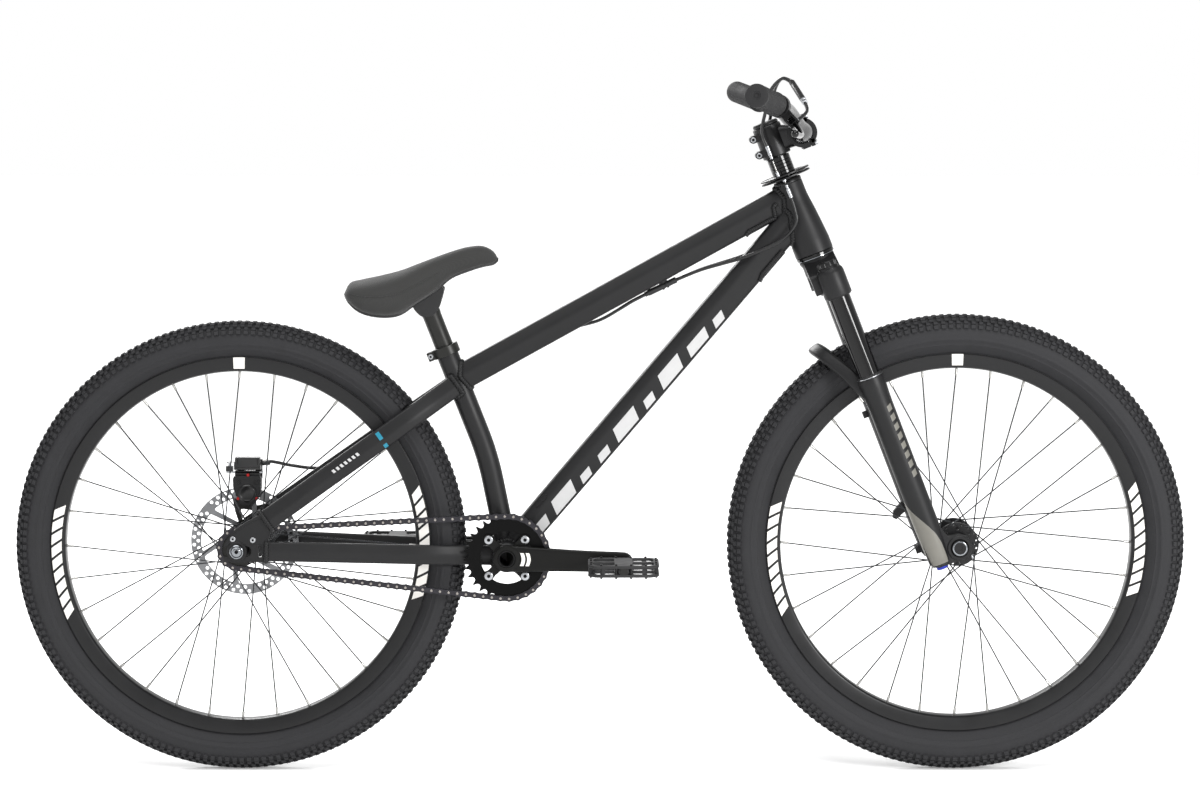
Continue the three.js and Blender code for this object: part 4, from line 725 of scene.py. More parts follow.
RIM_EDGE, RIM_SHOULDER, RIM_INNER, RIM_HALF = 279.5, 262, 257.7, 16.0
SPOKES, CROSSINGS = 16, 3
ROTOR_RADIUS, ROTOR_NEAR, ROTOR_FAR = 80, 51, 53
AXLE_HALF = 78
FLANGE_HALF = 1.9
WHEELS = {
    "rear": {
        "axle": rear_axle, "radius": 332.0, "casing": 25.7, "flange": 29.0,
        "offsets": {"right": 24.0, "left": 33.0}, "valve": 39.375,
    },
    "front": {
        "axle": front_axle, "radius": 337.0, "casing": 27.7, "flange": 32.0,
        "offsets": {"right": 29.0, "left": 29.0}, "valve": 118.125,
    },
}


def patch(mesh, point, across=2, along=6, lift=0.2):
    """A thin slab on a surface; point(a, b, height) gives its places for a and b from 0 to 1."""
    sheets = []
    for up in (-0.4, lift):
        places = [[point(i / across, j / along, up) for j in range(along + 1)] for i in range(across + 1)]
        sheets.append([[mesh.verts.new(place) for place in row] for row in places])
    for sheet in sheets:
        for i in range(across):
            for j in range(along):
                mesh.faces.new((sheet[i][j], sheet[i + 1][j], sheet[i + 1][j + 1], sheet[i][j + 1]))
    edge = [(i, 0) for i in range(across)] + [(across, j) for j in range(along)]
    edge += [(i, along) for i in range(across, 0, -1)] + [(0, j) for j in range(along, 0, -1)]
    for (i, j), (m, n) in zip(edge, edge[1:] + edge[:1]):
        mesh.faces.new((sheets[0][i][j], sheets[0][m][n], sheets[1][m][n], sheets[1][i][j]))


def build_tyre(name, wheel, settings):
    made, place = bmesh.new(), side_on(wheel["axle"])
    casing, height = wheel["casing"], settings.block_height / MM
    middle = wheel["radius"] - height - casing

    def on_casing(turn, lean, lift):
        reach = middle + (casing + lift) * math.cos(lean)
        return place @ Vector((reach * math.cos(turn), reach * math.sin(turn),
                               (casing + lift) * math.sin(lean)))

    # Two raised mould lines run round each side wall
    leans = [*range(0, 95, 6), 96, 98, 100, 102, 104, 112, 115, 117, 119, 122, 125]
    half = [
        (middle + (casing + lift) * math.cos(math.radians(lean)),
         (casing + lift) * math.sin(math.radians(lean)))
        for lean, lift in ((lean, 0.6 if lean in (98, 100, 102, 117) else 0.0) for lean in leans)
    ] + [(284.0, 16.6), (280.4, 13.3), (277.0, 13.1)]
    hoop(made, [(r, -y) for r, y in reversed(half)] + half[1:], place, 160)
    rows, count = settings.block_rows, settings.blocks_round
    for row in range(rows):
        share = abs(2 * row / (rows - 1) - 1)
        lean = math.copysign(math.radians(61) * share, row - (rows - 1) / 2)
        length, width = (7.8, 6.0) if share == 1 else (6.9, 4.7)
        swing, tilt = length / 2 / wheel["radius"], width / 2 / casing
        for k in range(count):
            turn = TURN * (k + (abs(2 * row - rows + 1) // 4 % 2) / 2) / count
            rings = []
            for lift, size in ((-0.6, 1.0), (height - 0.5, 0.9), (height, 0.74)):
                rings.append([
                    on_casing(turn + a * swing * size, lean + b * tilt * size, lift)
                    for a, b in ((-1, -1), (1, -1), (1, 1), (-1, 1))
                ])
            loft(made, rings)
    piece(f"{name}_tyre_tread", made, "tyre", f"{name}_wheel", "tyre_rubber", [f"{name}_tyre"], 33)


def rim_side(radius):
    """How far the rim's flat side stands from the wheel's middle at a radius."""
    return RIM_HALF - 0.8 * (RIM_EDGE - radius) / (RIM_EDGE - RIM_SHOULDER)


def build_rim(name, wheel):
    made, place = bmesh.new(), side_on(wheel["axle"])
    half = [(RIM_SHOULDER, rim_side(RIM_SHOULDER)), (260, 14.3), (258.4, 12.2), (RIM_INNER, 9),
            (RIM_INNER, 3)]
    inside = [(RIM_EDGE, 13.6), (276.4, 13.4), (272.5, 11), (270.5, 4)]
    edge = [(RIM_EDGE - 1.2, RIM_HALF), (RIM_EDGE, 15.2)]
    ring = inside[::-1] + edge[::-1] + half
    hoop(made, mirrored(ring), place, 180)
    piece(f"{name}_rim_hoop", made, "anodised", f"{name}_wheel", "anodised_black", [f"{name}_rim"], 28)

    # Plain slanted bars at the front and rear of each side, and one square patch at the top
    prints = bmesh.new()
    for _, side in SIDES:
        bars = [(start + 3.9 * k, 3.0, 2.2) for start in (-17.4, 166.6) for k in range(9)]
        for start, width, slant in [*bars, (90 - 1.75, 3.5, 0.0)]:
            def on_rim(a, b, up):
                radius = 263.2 + 14.8 * b if slant else 262.2 + 16.6 * b
                turn = math.radians(start + width * a + slant * b)
                return place @ Vector((
                    radius * math.cos(turn), radius * math.sin(turn), side * (rim_side(radius) + up)))
            patch(prints, on_rim, 4, 3, 0.12)
    piece(f"{name}_rim_prints", prints, "white_ink", f"{name}_wheel", "anodised_black")


def build_spokes(name, wheel, settings):
    radius, step = settings.spoke_diameter / MM / 2, TURN / SPOKES
    place = side_on(wheel["axle"])
    nipples = bmesh.new()
    for side_name, side in SIDES:
        wires = bmesh.new()
        for k in range(SPOKES):
            lead = 1 if k % 2 == 0 else -1
            rim_turn = (k + (0.5 if side > 0 else 0)) * step
            hub_turn = rim_turn + lead * CROSSINGS * step
            flange, offset = wheel["flange"] - 3, side * wheel["offsets"][side_name]
            face = offset + lead * side * 3.6
            root = place @ Vector((flange * math.cos(hub_turn), flange * math.sin(hub_turn), face))
            end = place @ Vector((
                (RIM_INNER + 1) * math.cos(rim_turn), (RIM_INNER + 1) * math.sin(rim_turn), side * 3))
            rod(wires, root, end, radius, 10, 0.3)
            # The wire turns through the flange, and its head sits on the other face
            through = Y * (offset - lead * side * 3.4 - face)
            rod(wires, root, root + through, radius, 10, 0.3)
            rod(wires, root + through * 0.86, root + through, 1.9, 10, 0.5)
            inward = (root - end).normalized()
            rod(nipples, end, end + inward * 11.5, 1.9, 10, 0.5)
        piece(f"{name}_spoke_wires_{side_name}", wires, "spoke", f"{name}_wheel", "spoke_steel",
              [f"{name}_spokes_{side_name}"])
    piece(f"{name}_nipples", nipples, "nipple", f"{name}_wheel", "bright_steel")

    valve, turn = bmesh.new(), math.radians(wheel["valve"])
    inward = -(place.to_3x3() @ Vector((math.cos(turn), math.sin(turn), 0)))
    foot = wheel["axle"] - inward * (RIM_INNER + 2)
    lathe(valve, [(3.8, 0), (3.8, 16), (3.0, 18), (3.0, 24), (4.1, 24.5), (4.1, 33), (3.2, 34.5)],
          along(foot, inward), 16)
    piece(f"{name}_valve", valve, "grip", f"{name}_wheel", "grip_rubber")


def build_hub(name, profile):
    wheel = WHEELS[name]
    made, place = bmesh.new(), side_on(wheel["axle"])
    lathe(made, profile, place, 56)
    for side_name, side in SIDES:
        radius, middle = wheel["flange"], side * wheel["offsets"][side_name]
        holes = [circle(1.5, 8, *circle(radius - 3, SPOKES, start=TURN / 32)[k]) for k in range(SPOKES)]
        holes += [circle(2.6, 10, *circle(radius - 8.6, 8)[k]) for k in range(8)]
        plate(made, circle(radius, 72), middle - FLANGE_HALF, middle + FLANGE_HALF, place, holes)
    piece(f"{name}_hub_shell", made, "anodised", f"{name}_wheel", "anodised_black", [f"{name}_hub"], 35)


class BIKE_OT_wheels(bpy.types.Operator):
    """Build both wheels: tread, rims with their prints, spokes, nipples, valves and hubs"""

    bl_idname = "bike.wheels"
    bl_label = "Wheels"

    def execute(self, context):
        settings = context.scene.bike_wheels
        for name, wheel in WHEELS.items():
            build_tyre(name, wheel, settings)
            build_rim(name, wheel)
            build_spokes(name, wheel, settings)
        build_hub("front", mirrored([
            (11.5, -54.7), (13.4, -54.7), (14, -54), (14, -46), (15.2, -45), (15.2, -38),
            (19, -33), (19.5, -26), (18, -21), (16.6, -12),
        ]))
        build_hub("rear", [
            (7.5, -67.2), (10.4, -67.2), (11, -66.6), (11, -56), (16.4, -55), (17, -54.4),
            (17, -30), (18.5, -27), (18.5, -21), (15, -16), (14.5, 18), (18.5, 26), (20.5, 36), (24, 38),
            (24, 50.1), (23.4, 50.7), (11, 50.7), (11, 66.6), (10.4, 67.2), (7.5, 67.2),
        ])
        build_rotor()
        build_axles()
        return {"FINISHED"}


def build_rotor():
    made, place = bmesh.new(), side_on(rear_axle)
    holes, arm = [circle(11.4, 24)], TURN / 6
    for k in range(6):
        start = k * arm
        inside = [start + arm * (0.04 + 0.7 * i / 4) for i in range(5)]
        outside = [start + arm * (1.24 - 0.88 * i / 6) for i in range(7)]
        window = [(27 * math.cos(a), 27 * math.sin(a)) for a in inside]
        window += [(65 * math.cos(a), 65 * math.sin(a)) for a in outside]
        holes.append(rounded(window, 3.5, 3))
    # Two staggered rows of drilled holes, with every eighth pair left out
    for k in range(40):
        if k % 8 == 7:
            continue
        for row, radius in ((0, 69.4), (0.5, 75.6)):
            turn = TURN * (k + row) / 40
            holes.append(circle(2.65, 10, radius * math.cos(turn), radius * math.sin(turn)))
    plate(made, circle(ROTOR_RADIUS, 120), ROTOR_NEAR, ROTOR_FAR, place, holes)
    piece("rotor_disc", made, "rotor", "rear_wheel", "bright_steel", ["brake_rotor"], 35)
    bolts = bmesh.new()
    for x, z in circle(19, 6, start=TURN / 24):
        socket_bolt(bolts, rear_axle + Vector((x, ROTOR_FAR, z)), Y, 4.2, 2.4)
    piece("rotor_bolts", bolts, "zinc", "rear_wheel", "chrome_bolt")


def build_axles():
    """The rear axle with its nuts and washers, and the fork's through axle."""
    axle, nuts, socket_shades = bmesh.new(), bmesh.new(), bmesh.new()
    rod(axle, rear_axle - Y * AXLE_HALF, rear_axle + Y * AXLE_HALF, 6.7, 24)
    for _, side in SIDES:
        place = outward(rear_axle, side)
        lathe(axle, [(8, 73.8), (14.1, 73.8), (14.5, 74.2), (14.5, 75.4), (14.1, 75.8), (8, 75.8)], place, 36)
        # A domed nut with a ground ring, a shallow dish and a hexagon socket
        lathe(nuts, [(10.4, 75.8), (10.6, 76.4), (10.6, 79.6), (9.6, 81.2), (8.6, 81.6),
                     (7.6, 80.4), (7.2, 80.0)], place, 40)
        socket_bolt(nuts, rear_axle + side * Y * 79.5, side * Y, 5.6, 2.2, 0.6, socket_shades)
    piece("rear_axle_bar", axle, "anodised", "frame", "bright_steel", ["rear_axle"])
    piece("rear_axle_nuts", nuts, "chrome", "frame", "chrome_bolt")
    # Dark discs in the nuts' sockets: painted shade for their recesses
    piece("rear_axle_socket_shades", socket_shades, "sprocket", "frame", "anodised_black")

    bar, ring = bmesh.new(), bmesh.new()
    rod(bar, front_axle - Y * AXLE_HALF, front_axle + Y * AXLE_HALF, 9.9, 36)
    for _, side in SIDES:
        place = outward(front_axle, side)
        lathe(bar, [
            (9, 74.6), (12, 74.6), (12, 78.6), (11.2, 79.6), (10.6, 79.6), (10.6, 79), (5.4, 79),
            (5.2, 76.2), (1, 76),
        ], place, 40)
        hoop(ring, [(8.4, 78.4), (10.6, 78.4), (10.6, 79.7), (10, 80), (8.8, 80), (8.4, 79.4)], place, 48)
        socket_bolt(bar, front_axle + side * Y * 76, side * Y, 6.4, 3.2, 0.7)
    piece("front_axle_bar", bar, "anodised", "fork_slider", "anodised_black", ["front_axle"])
    piece("front_axle_rings", ring, "chrome", "fork_slider", "chrome_bolt")


# Drive

class DriveSettings(bpy.types.PropertyGroup):
    """Sizes of the drive's details."""

    tooth_thickness: bpy.props.FloatProperty(
        name="Sprocket thickness", description="Thickness of the chainring and the cog", unit="LENGTH",
        min=0.001, default=2.6 * MM)
    pin_diameter: bpy.props.FloatProperty(
        name="Chain pin diameter", description="Diameter of the chain's pins", unit="LENGTH", min=0.002,
        default=3.8 * MM)
    pedal_pins: bpy.props.IntProperty(
        name="Pedal pins", description="Grip pins along each edge of a pedal", min=2, default=4)


PITCH = 12.7
RING_TEETH, COG_TEETH = 30, 14
RING_RADIUS = PITCH / (2 * math.sin(math.pi / RING_TEETH))
COG_RADIUS = PITCH / (2 * math.sin(math.pi / COG_TEETH))
CHAIN_LINE = -45.0
CHAIN_LINKS = 84
CRANK_LENGTH = 170.0
PEDAL_OUT, PEDAL_RAILS = 130.2, ((-8.4, -4.4), (4.4, 8.4))
CRANK_DROP = math.radians(1.2)
ARM_INNER, ARM_HALF, ARM_FLARE, ARM_DISH = 50.7, 7.4, 12, 0.9
BOLT_CIRCLE, RING_INNER, BOLT_TAB = 37.6, 38.6, 8


def chain_pins():
    """The pins' places: evenly spaced on the belt round the chainring and the cog."""
    ring, cog = Vector((bracket.x, bracket.z)), Vector((rear_axle.x, rear_axle.z))
    apart = (ring - cog).length
    lean = math.atan2(ring.y - cog.y, ring.x - cog.x)
    spread = math.acos((RING_RADIUS - COG_RADIUS) / apart)
    # Seen from the ring the cog lies at lean + pi; the tangent points are spread to either side of that line
    runs = [
        (ring, RING_RADIUS, lean + math.pi - spread, -(TURN - 2 * spread)),
        (cog, COG_RADIUS, lean + math.pi + spread, -2 * spread),
    ]
    reach = math.sqrt(apart ** 2 - (RING_RADIUS - COG_RADIUS) ** 2)
    total = RING_RADIUS * (TURN - 2 * spread) + COG_RADIUS * 2 * spread + 2 * reach
    made = []
    for k in range(CHAIN_LINKS):
        place = total * k / CHAIN_LINKS
        for i, (centre, radius, start, swing) in enumerate(runs):
            length = radius * abs(swing)
            if place <= length:
                turn = start + swing * place / length
                made.append(centre + radius * Vector((math.cos(turn), math.sin(turn))))
                break
            place -= length
            if place <= reach:
                end = start + swing
                leave = centre + radius * Vector((math.cos(end), math.sin(end)))
                other, size, enter, _ = runs[1 - i]
                arrive = other + size * Vector((math.cos(enter), math.sin(enter)))
                made.append(leave.lerp(arrive, place / reach))
                break
            place -= reach
    return [Vector((p.x, CHAIN_LINE, p.y)) for p in made]


def sprocket_outline(teeth, radius, start):
    """Roller seats joined by pointed teeth; the first seat is at the angle start."""
    made = []
    for k in range(teeth):
        turn = start + TURN * k / teeth
        seat = Vector((radius * math.cos(turn), radius * math.sin(turn)))
        for step in range(3, -4, -1):
            angle = turn + math.pi + math.radians(22 * step)
            made.append(tuple(seat + 4.1 * Vector((math.cos(angle), math.sin(angle)))))
        for share, rise in ((0.43, 2.6), (0.5, 3.3), (0.57, 2.6)):
            angle = turn + TURN / teeth * share
            made.append(((radius + rise) * math.cos(angle), (radius + rise) * math.sin(angle)))
    return made


def nearest_turn(pins, centre, toward):
    """The angle round centre of the pin that lies furthest along a direction."""
    pin = max(pins, key=lambda p: (p - centre).dot(toward))
    return math.atan2(pin.z - centre.z, pin.x - centre.x)


class BIKE_OT_chain(bpy.types.Operator):
    """Build the chain link by link, with the toothed ring and cog that it runs on"""

    bl_idname = "bike.chain"
    bl_label = "Chain and Sprockets"

    def execute(self, context):
        settings = context.scene.bike_drive
        pins, half = chain_pins(), settings.tooth_thickness / MM / 2
        plates, ends, radius = bmesh.new(), bmesh.new(), settings.pin_diameter / MM / 2
        for k, pin in enumerate(pins):
            other = pins[(k + 1) % len(pins)]
            ahead = (other - pin).normalized()
            place = axes((pin + other) / 2, ahead, Y.cross(ahead), Y)
            reach = (other - pin).length / 2
            outline = arc(4.5, range(-120, 121, 24), reach)
            outline += [(0, 3.4)] + [(-x, y) for x, y in reversed(outline)] + [(0, -3.4)]
            inner = 2.3 if k % 2 else 3.15
            for side in (-1, 1):
                plate(plates, outline, side * inner, side * (inner + 0.8), place)
            rod(plates, pin - Y * 2.3, pin + Y * 2.3, 3.8, 16, 0.3)
            rod(ends, pin - Y * 4.3, pin + Y * 4.3, radius, 14, 0.3)
        piece("chain_links", plates, "chain", "frame", "chain_steel", ["chain"], 35)
        piece("chain_pins", ends, "pin", "frame", "bright_steel")

        # The chainring's inner edge swells to a tab round each of its four bolts
        edge = []
        for k in range(160):
            turn = TURN * (k + 0.5) / 160
            off = (turn % (TURN / 4)) - TURN / 8
            reach, beside = RING_INNER, BOLT_CIRCLE * math.sin(off)
            if abs(beside) < BOLT_TAB:
                reach = min(reach, BOLT_CIRCLE * math.cos(off) - math.sqrt(BOLT_TAB ** 2 - beside ** 2))
            edge.append((reach * math.cos(turn), reach * math.sin(turn)))
        for name, teeth, size, centre, toward, hole, kind in (
            ("toothed_ring", RING_TEETH, RING_RADIUS, bracket, X, edge,
             ("sprocket", "crankset", "anodised_black", ["chainring"])),
            ("toothed_cog", COG_TEETH, COG_RADIUS, rear_axle, -X, circle(17.3, 40),
             ("forged", "cog", "forged_grey", ["rear_cog"])),
        ):
            made, outline = bmesh.new(), sprocket_outline(teeth, size, nearest_turn(pins, centre, toward))
            plate(made, outline, CHAIN_LINE - half, CHAIN_LINE + half, side_on(centre), [hole])
            piece(name, made, *kind, 30)
        return {"FINISHED"}


def build_crank_arm(side):
    """A forged arm: a bored boss, a tapering beam that flares from the chain, and a rounded pedal eye."""
    made = bmesh.new()
    lead = -side
    ahead = Vector((lead * math.cos(CRANK_DROP), 0, -lead * math.sin(CRANK_DROP)))
    lift = ahead.cross(Y)
    # Cuts along the arm: distance, half height, and how far its middle has flared
    slope, root = (19.5 - 14.5) / CRANK_LENGTH, 12
    cuts = [(0.0, 19.3, 0.0), (12.0, 19.0, 0.0)]
    for k in range(1, 15):
        u, share = root + (160 - root) * k / 14, k / 14
        waist = 1 - 0.06 * math.sin(math.pi * share)
        cuts.append((u, (19.5 - slope * u) * waist, ARM_FLARE * eased(share)))
    for angle in (80, 60, 42, 26, 12, 3):
        a = math.radians(angle)
        cuts.append((CRANK_LENGTH + 14.5 * math.cos(a), 14.5 * math.sin(a), 12.0))
    rings = []
    for i, (u, half, flare) in enumerate(cuts):
        ring = []
        for v, t in soft_box(2 * half, 14.2, 5.5, 40):
            along_arm = math.sqrt(max(0, 15 ** 2 - v * v)) if i == 0 else u
            if i == 1:
                along_arm = max(u, math.sqrt(max(0, 17.2 ** 2 - v * v)))
            # The face is dished a little between its edges
            dish = ARM_DISH * (1 - (v / half) ** 2) * min(1, u / 60) if t > 0 else 0
            out = side * (ARM_INNER + ARM_HALF + flare + t - dish)
            ring.append(bracket + along_arm * ahead + v * lift + out * Y)
        rings.append(ring)
    loft(made, rings)
    hoop(made, [
        (12.6, 50.7), (19, 50.7), (19.5, 51.4), (19.5, 64), (18.4, 65.5), (16.8, 65.9),
        (13.2, 65.9), (12.4, 65.2), (12.4, 56), (12.4, 52),
    ], outward(bracket, side, ahead, lift), 56)
    return made


class BIKE_OT_cranks(bpy.types.Operator):
    """Build the crank arms, the spider with its bolts, the hollow spindle and the printed bars"""

    bl_idname = "bike.cranks"
    bl_label = "Cranks"

    def execute(self, context):
        for name, side in SIDES:
            made = build_crank_arm(side)
            if side < 0:
                place = side_on(bracket)
                for k in range(4):
                    turn = TURN * (k + 0.5) / 4
                    x, z = math.cos(turn), math.sin(turn)
                    arm = [(15.5, -8.4), (20, -7.0), (30, -6.4)]
                    arm += arc(7.4, range(-80, 81, 20), BOLT_CIRCLE)
                    arm += [(30, 6.4), (20, 7.0), (15.5, 8.4)]
                    outline = [(u * x - v * z, u * z + v * x) for u, v in arm]
                    plate(made, outline, -51.4, -46.4, place)
                hoop(made, [(12.6, -51), (19, -51), (19, -46.4), (12.6, -46.4)], place, 48)
            piece(f"crank_beam_{name}", made, "crank", "crankset", "forged_grey", [f"crank_arm_{name}"], 30)

        spindle, bolts, socket_shades = bmesh.new(), bmesh.new(), bmesh.new()
        hoop(spindle, [(12.3, -65.2), (12.3, 65.2), (11.6, 66.2), (10.9, 66.2), (10.4, 65.4),
                       (10.4, 20), (10.4, -65.4), (10.9, -66.2), (11.6, -66.2)], side_on(bracket), 48)
        rod(spindle, bracket - Y * 4, bracket + Y * 4, 10.6, 32)
        piece("hollow_spindle", spindle, "anodised", "crankset", "anodised_black", ["crank_spindle"])
        for x, z in circle(BOLT_CIRCLE, 4, start=TURN / 8):
            seat = bracket + Vector((x, -51.4, z))
            socket_bolt(bolts, seat, -Y, 6.1, 2.0, 0.5, socket_shades)
            rod(bolts, bracket + Vector((x, CHAIN_LINE + 1.3, z)), bracket + Vector((x, -42.4, z)), 5.4, 20)
        piece("ring_bolts", bolts, "zinc", "crankset", "chrome_bolt")
        # Dark discs in the bolts' sockets: painted shade for their recesses
        piece("ring_bolt_socket_shades", socket_shades, "sprocket", "crankset", "anodised_black")

        bars = bmesh.new()
        for side in (-1, 1):
            lead = -side
            for start in (19.5, 27.5):
                def on_arm(a, b, up):
                    u, v = start + 5.2 * a + 2.4 * math.sin(math.pi * b), -9.5 + 19 * b
                    flare = ARM_FLARE * eased(max(0, u - 12) / 148)
                    dish = ARM_DISH * (1 - (v / 18.5) ** 2) * min(1, u / 60)
                    face = ARM_INNER + ARM_HALF + flare + 7.05 - dish
                    x = lead * (u * math.cos(CRANK_DROP)) + v * math.sin(CRANK_DROP)
                    z = -lead * u * math.sin(CRANK_DROP) + v * math.cos(CRANK_DROP)
                    return bracket + Vector((x, side * (face + up), z))
                patch(bars, on_arm, 2, 8, 0.25)
        piece("crank_prints", bars, "white_ink", "crankset", "forged_grey")
        return {"FINISHED"}


class BIKE_OT_pedals(bpy.types.Operator):
    """Build both platform pedals with their rails, barrels, axles and grip pins"""

    bl_idname = "bike.pedals"
    bl_label = "Pedals"

    def execute(self, context):
        count = context.scene.bike_drive.pedal_pins
        for name, side in SIDES:
            centre = joint_place(f"pedal_{name}_spin")
            centre.y = side * PEDAL_OUT
            made, pins, axle = bmesh.new(), bmesh.new(), bmesh.new()
            place = axes(centre, X, Y, Z)
            outline = rounded(
                [(-51, -33), (-40, -47.5), (40, -47.5), (51, -33), (51, 33), (40, 47.5), (-40, 47.5),
                 (-51, 33)], 4, 2)
            windows = []
            for end, row in ((-1, -1), (-1, 1), (1, -1), (1, 1)):
                corners = [(13, 36), (37, 39.5), (43.5, 30), (43.5, 5), (13, 5)]
                windows.append(rounded([(end * x, row * y) for x, y in corners], 3, 2))
            for low, high in PEDAL_RAILS:
                plate(made, outline, low, high, place, windows)
            # Posts join the two rails, so daylight shows between them from every side
            for x in (-47, -29, 29, 47):
                for y in (-43, 43) if abs(x) < 40 else (-30, -8, 8, 30):
                    block(made, (x - 2.6, y - 2.6, -5.6), (x + 2.6, y + 2.6, 5.6), place)
            rod(made, centre - Y * 46.5, centre + Y * 46.5, 7.6, 32, 1)
            piece(f"pedal_cage_{name}", made, "pedal", f"pedal_{name}", "pedal_grey", [f"pedal_{name}"],
                  bevel=0.7)
            rows = [(x, y) for x in (-47, 47) for y in (-30, -12, 12, 30)]
            rows += [(-32 + 64 * k / (count - 1), y) for k in range(count) for y in (-43.2, 43.2)]
            for x, y in rows:
                rod(pins, place @ Vector((x, y, -10.6)), place @ Vector((x, y, 10.6)), 1.7, 12, 0.4)
            piece(f"pedal_pins_{name}", pins, "anodised", f"pedal_{name}", "bright_steel")
            inner = centre - side * Y * 47
            rod(axle, inner - side * Y * 4.6, inner + side * Y * 3, 7.8, 32, 0.8)
            rod(axle, centre + side * Y * 46.4, centre + side * Y * 47.4, 5.6, 28, 0.5)
            piece(f"pedal_axle_{name}", axle, "forged", f"pedal_{name}", "bright_steel")
        return {"FINISHED"}


# Frame

class FrameSettings(bpy.types.PropertyGroup):
    """Sizes of the frame's details."""

    weld_size: bpy.props.FloatProperty(
        name="Weld bead", description="Half width of the weld beads", unit="LENGTH", min=0.0005,
        default=3.9 * MM)
    weld_pitch: bpy.props.FloatProperty(
        name="Weld ripple", description="Distance from one weld ripple to the next", unit="LENGTH", min=0.001,
        default=3.8 * MM)
    band_width: bpy.props.FloatProperty(
        name="Stay band", description="Width of the coloured band on each seatstay", unit="LENGTH", min=0.001,
        default=6.5 * MM)


def ridged(width, depth, ridge, top, foot, corner):
    """A hydroformed tube's section: flat above and below, with a soft ridge along each side."""
    w, d = width / 2, depth / 2
    outline = [(w, ridge * depth), (top * w, d), (-top * w, d), (-w, ridge * depth), (-foot * w, -d),
               (foot * w, -d)]
    return rounded(outline, corner, 5)


TOP_TUBE = ridged(33, 39, 0.08, 0.6, 0.66, 4.5)
DOWN_TUBE = ridged(40, 43, 0.2, 0.6, 0.74, 5.5)
CHAINSTAY = ridged(13, 29, 0.02, 0.55, 0.6, 3.4)
SEATSTAY = ridged(14, 31, 0.1, 0.5, 0.6, 3.6)


def side_reach(section, height):
    """How far a section reaches sideways at a height above its middle."""
    reach = 0.0
    for (u, v), (m, n) in zip(section, section[1:] + section[:1]):
        if min(v, n) <= height <= max(v, n) and n != v:
            reach = max(reach, u + (m - u) * (height - v) / (n - v))
    return reach


def tube(mesh, section, start, end, first, last, swell, reach):
    """A straight tube, its ends cut to fit the trees that they meet. Gives back its two end loops."""
    ahead, length = (end - start).normalized(), (end - start).length
    deep = ahead.cross(Y)

    def ring(place, share):
        wide, tall = swell(share)
        return [start + ahead * place + u * wide * Y + v * tall * deep for u, v in section]

    foot = meet(first, ring(reach, 0), -ahead, reach)
    head = meet(last, ring(length - reach, 1), ahead, reach)
    places = [reach + (length - 2 * reach) * k / 8 for k in range(9)]
    middle = [ring(place, place / length) for place in places]
    loft(mesh, [[p - ahead * 1.2 for p in foot], *middle, [p + ahead * 1.2 for p in head]])
    return foot, head


STAY_HALF, DROPOUT_NEAR, DROPOUT_FAR = 70.5, 67.5, 73.5
CHAINSTAY_LINE = (bracket, Vector((-486.2, 0, 331.7)), [
    (0, .36), (.18, .45), (.32, .62), (.6, .78), (.88, .93), (1, 1)])
SEATSTAY_LINE = (Vector((-207.5, 0, 572.5)), Vector((-485.9, 0, 376.4)), [
    (0, .21), (.13, .33), (.26, .54), (.4, .65), (.62, .76), (.85, .92), (1, 1)])


def stay_path(line, first=0.0):
    """A left stay's centre line: straight from the side, spreading by (share along, share of the width)."""
    start, end, shares = line
    points = [Vector((*start.lerp(end, s).xz, across * STAY_HALF)).xzy for s, across in shares]
    return [p for p in curve_through(points, 6) if (p - points[0]).length >= first]


def on_line(start, end, section, side):
    """Maps (distance along, height above the line, lift) to a place on a straight tube's side."""
    ahead = (end - start).normalized()
    deep = ahead.cross(Y)
    return lambda s, v, up: start + ahead * s + deep * v + side * Y * (side_reach(section, v) + up)


def gusset(mesh, beads, section, joint, back, length, weld):
    """A sheet wrapped under a tube near its joint, welded along its two upper edges."""
    deep = back.cross(Y)
    grown = [(u * 1.09, v * 1.07) for u, v in section]
    sheets = []
    for k in range(11):
        share = k / 10
        place = joint + back * (length * (1 - share))
        top = (0.46 - 0.5 * share) * max(v for _, v in section) * 2
        ring = sorted([(u, v) for u, v in grown if v <= -top], key=lambda p: math.atan2(p[0], -p[1]))
        sheets.append([place + u * Y - v * deep for u, v in ring])
    for line in ([sheet[0] for sheet in sheets], [sheet[-1] for sheet in sheets]):
        weld_bead(beads, curve_through(line, 0.8), Y, weld)
    # The sheet itself: each station has the same number of points, spread evenly along its line
    rows = []
    for line in sheets:
        lengths = [0.0]
        for a, b in zip(line, line[1:]):
            lengths.append(lengths[-1] + (b - a).length)
        row = []
        for k in range(25):
            at = lengths[-1] * k / 24
            i = max(j for j in range(len(line) - 1) if lengths[j] <= at + 1e-9)
            span = max(lengths[i + 1] - lengths[i], 1e-9)
            row.append(line[i].lerp(line[i + 1], min(1, (at - lengths[i]) / span)))
        rows.append(row)
    inner = [[p - deep * 1.6 for p in row] for row in rows]
    loft(mesh, [a + b[::-1] for a, b in zip(rows, inner)])


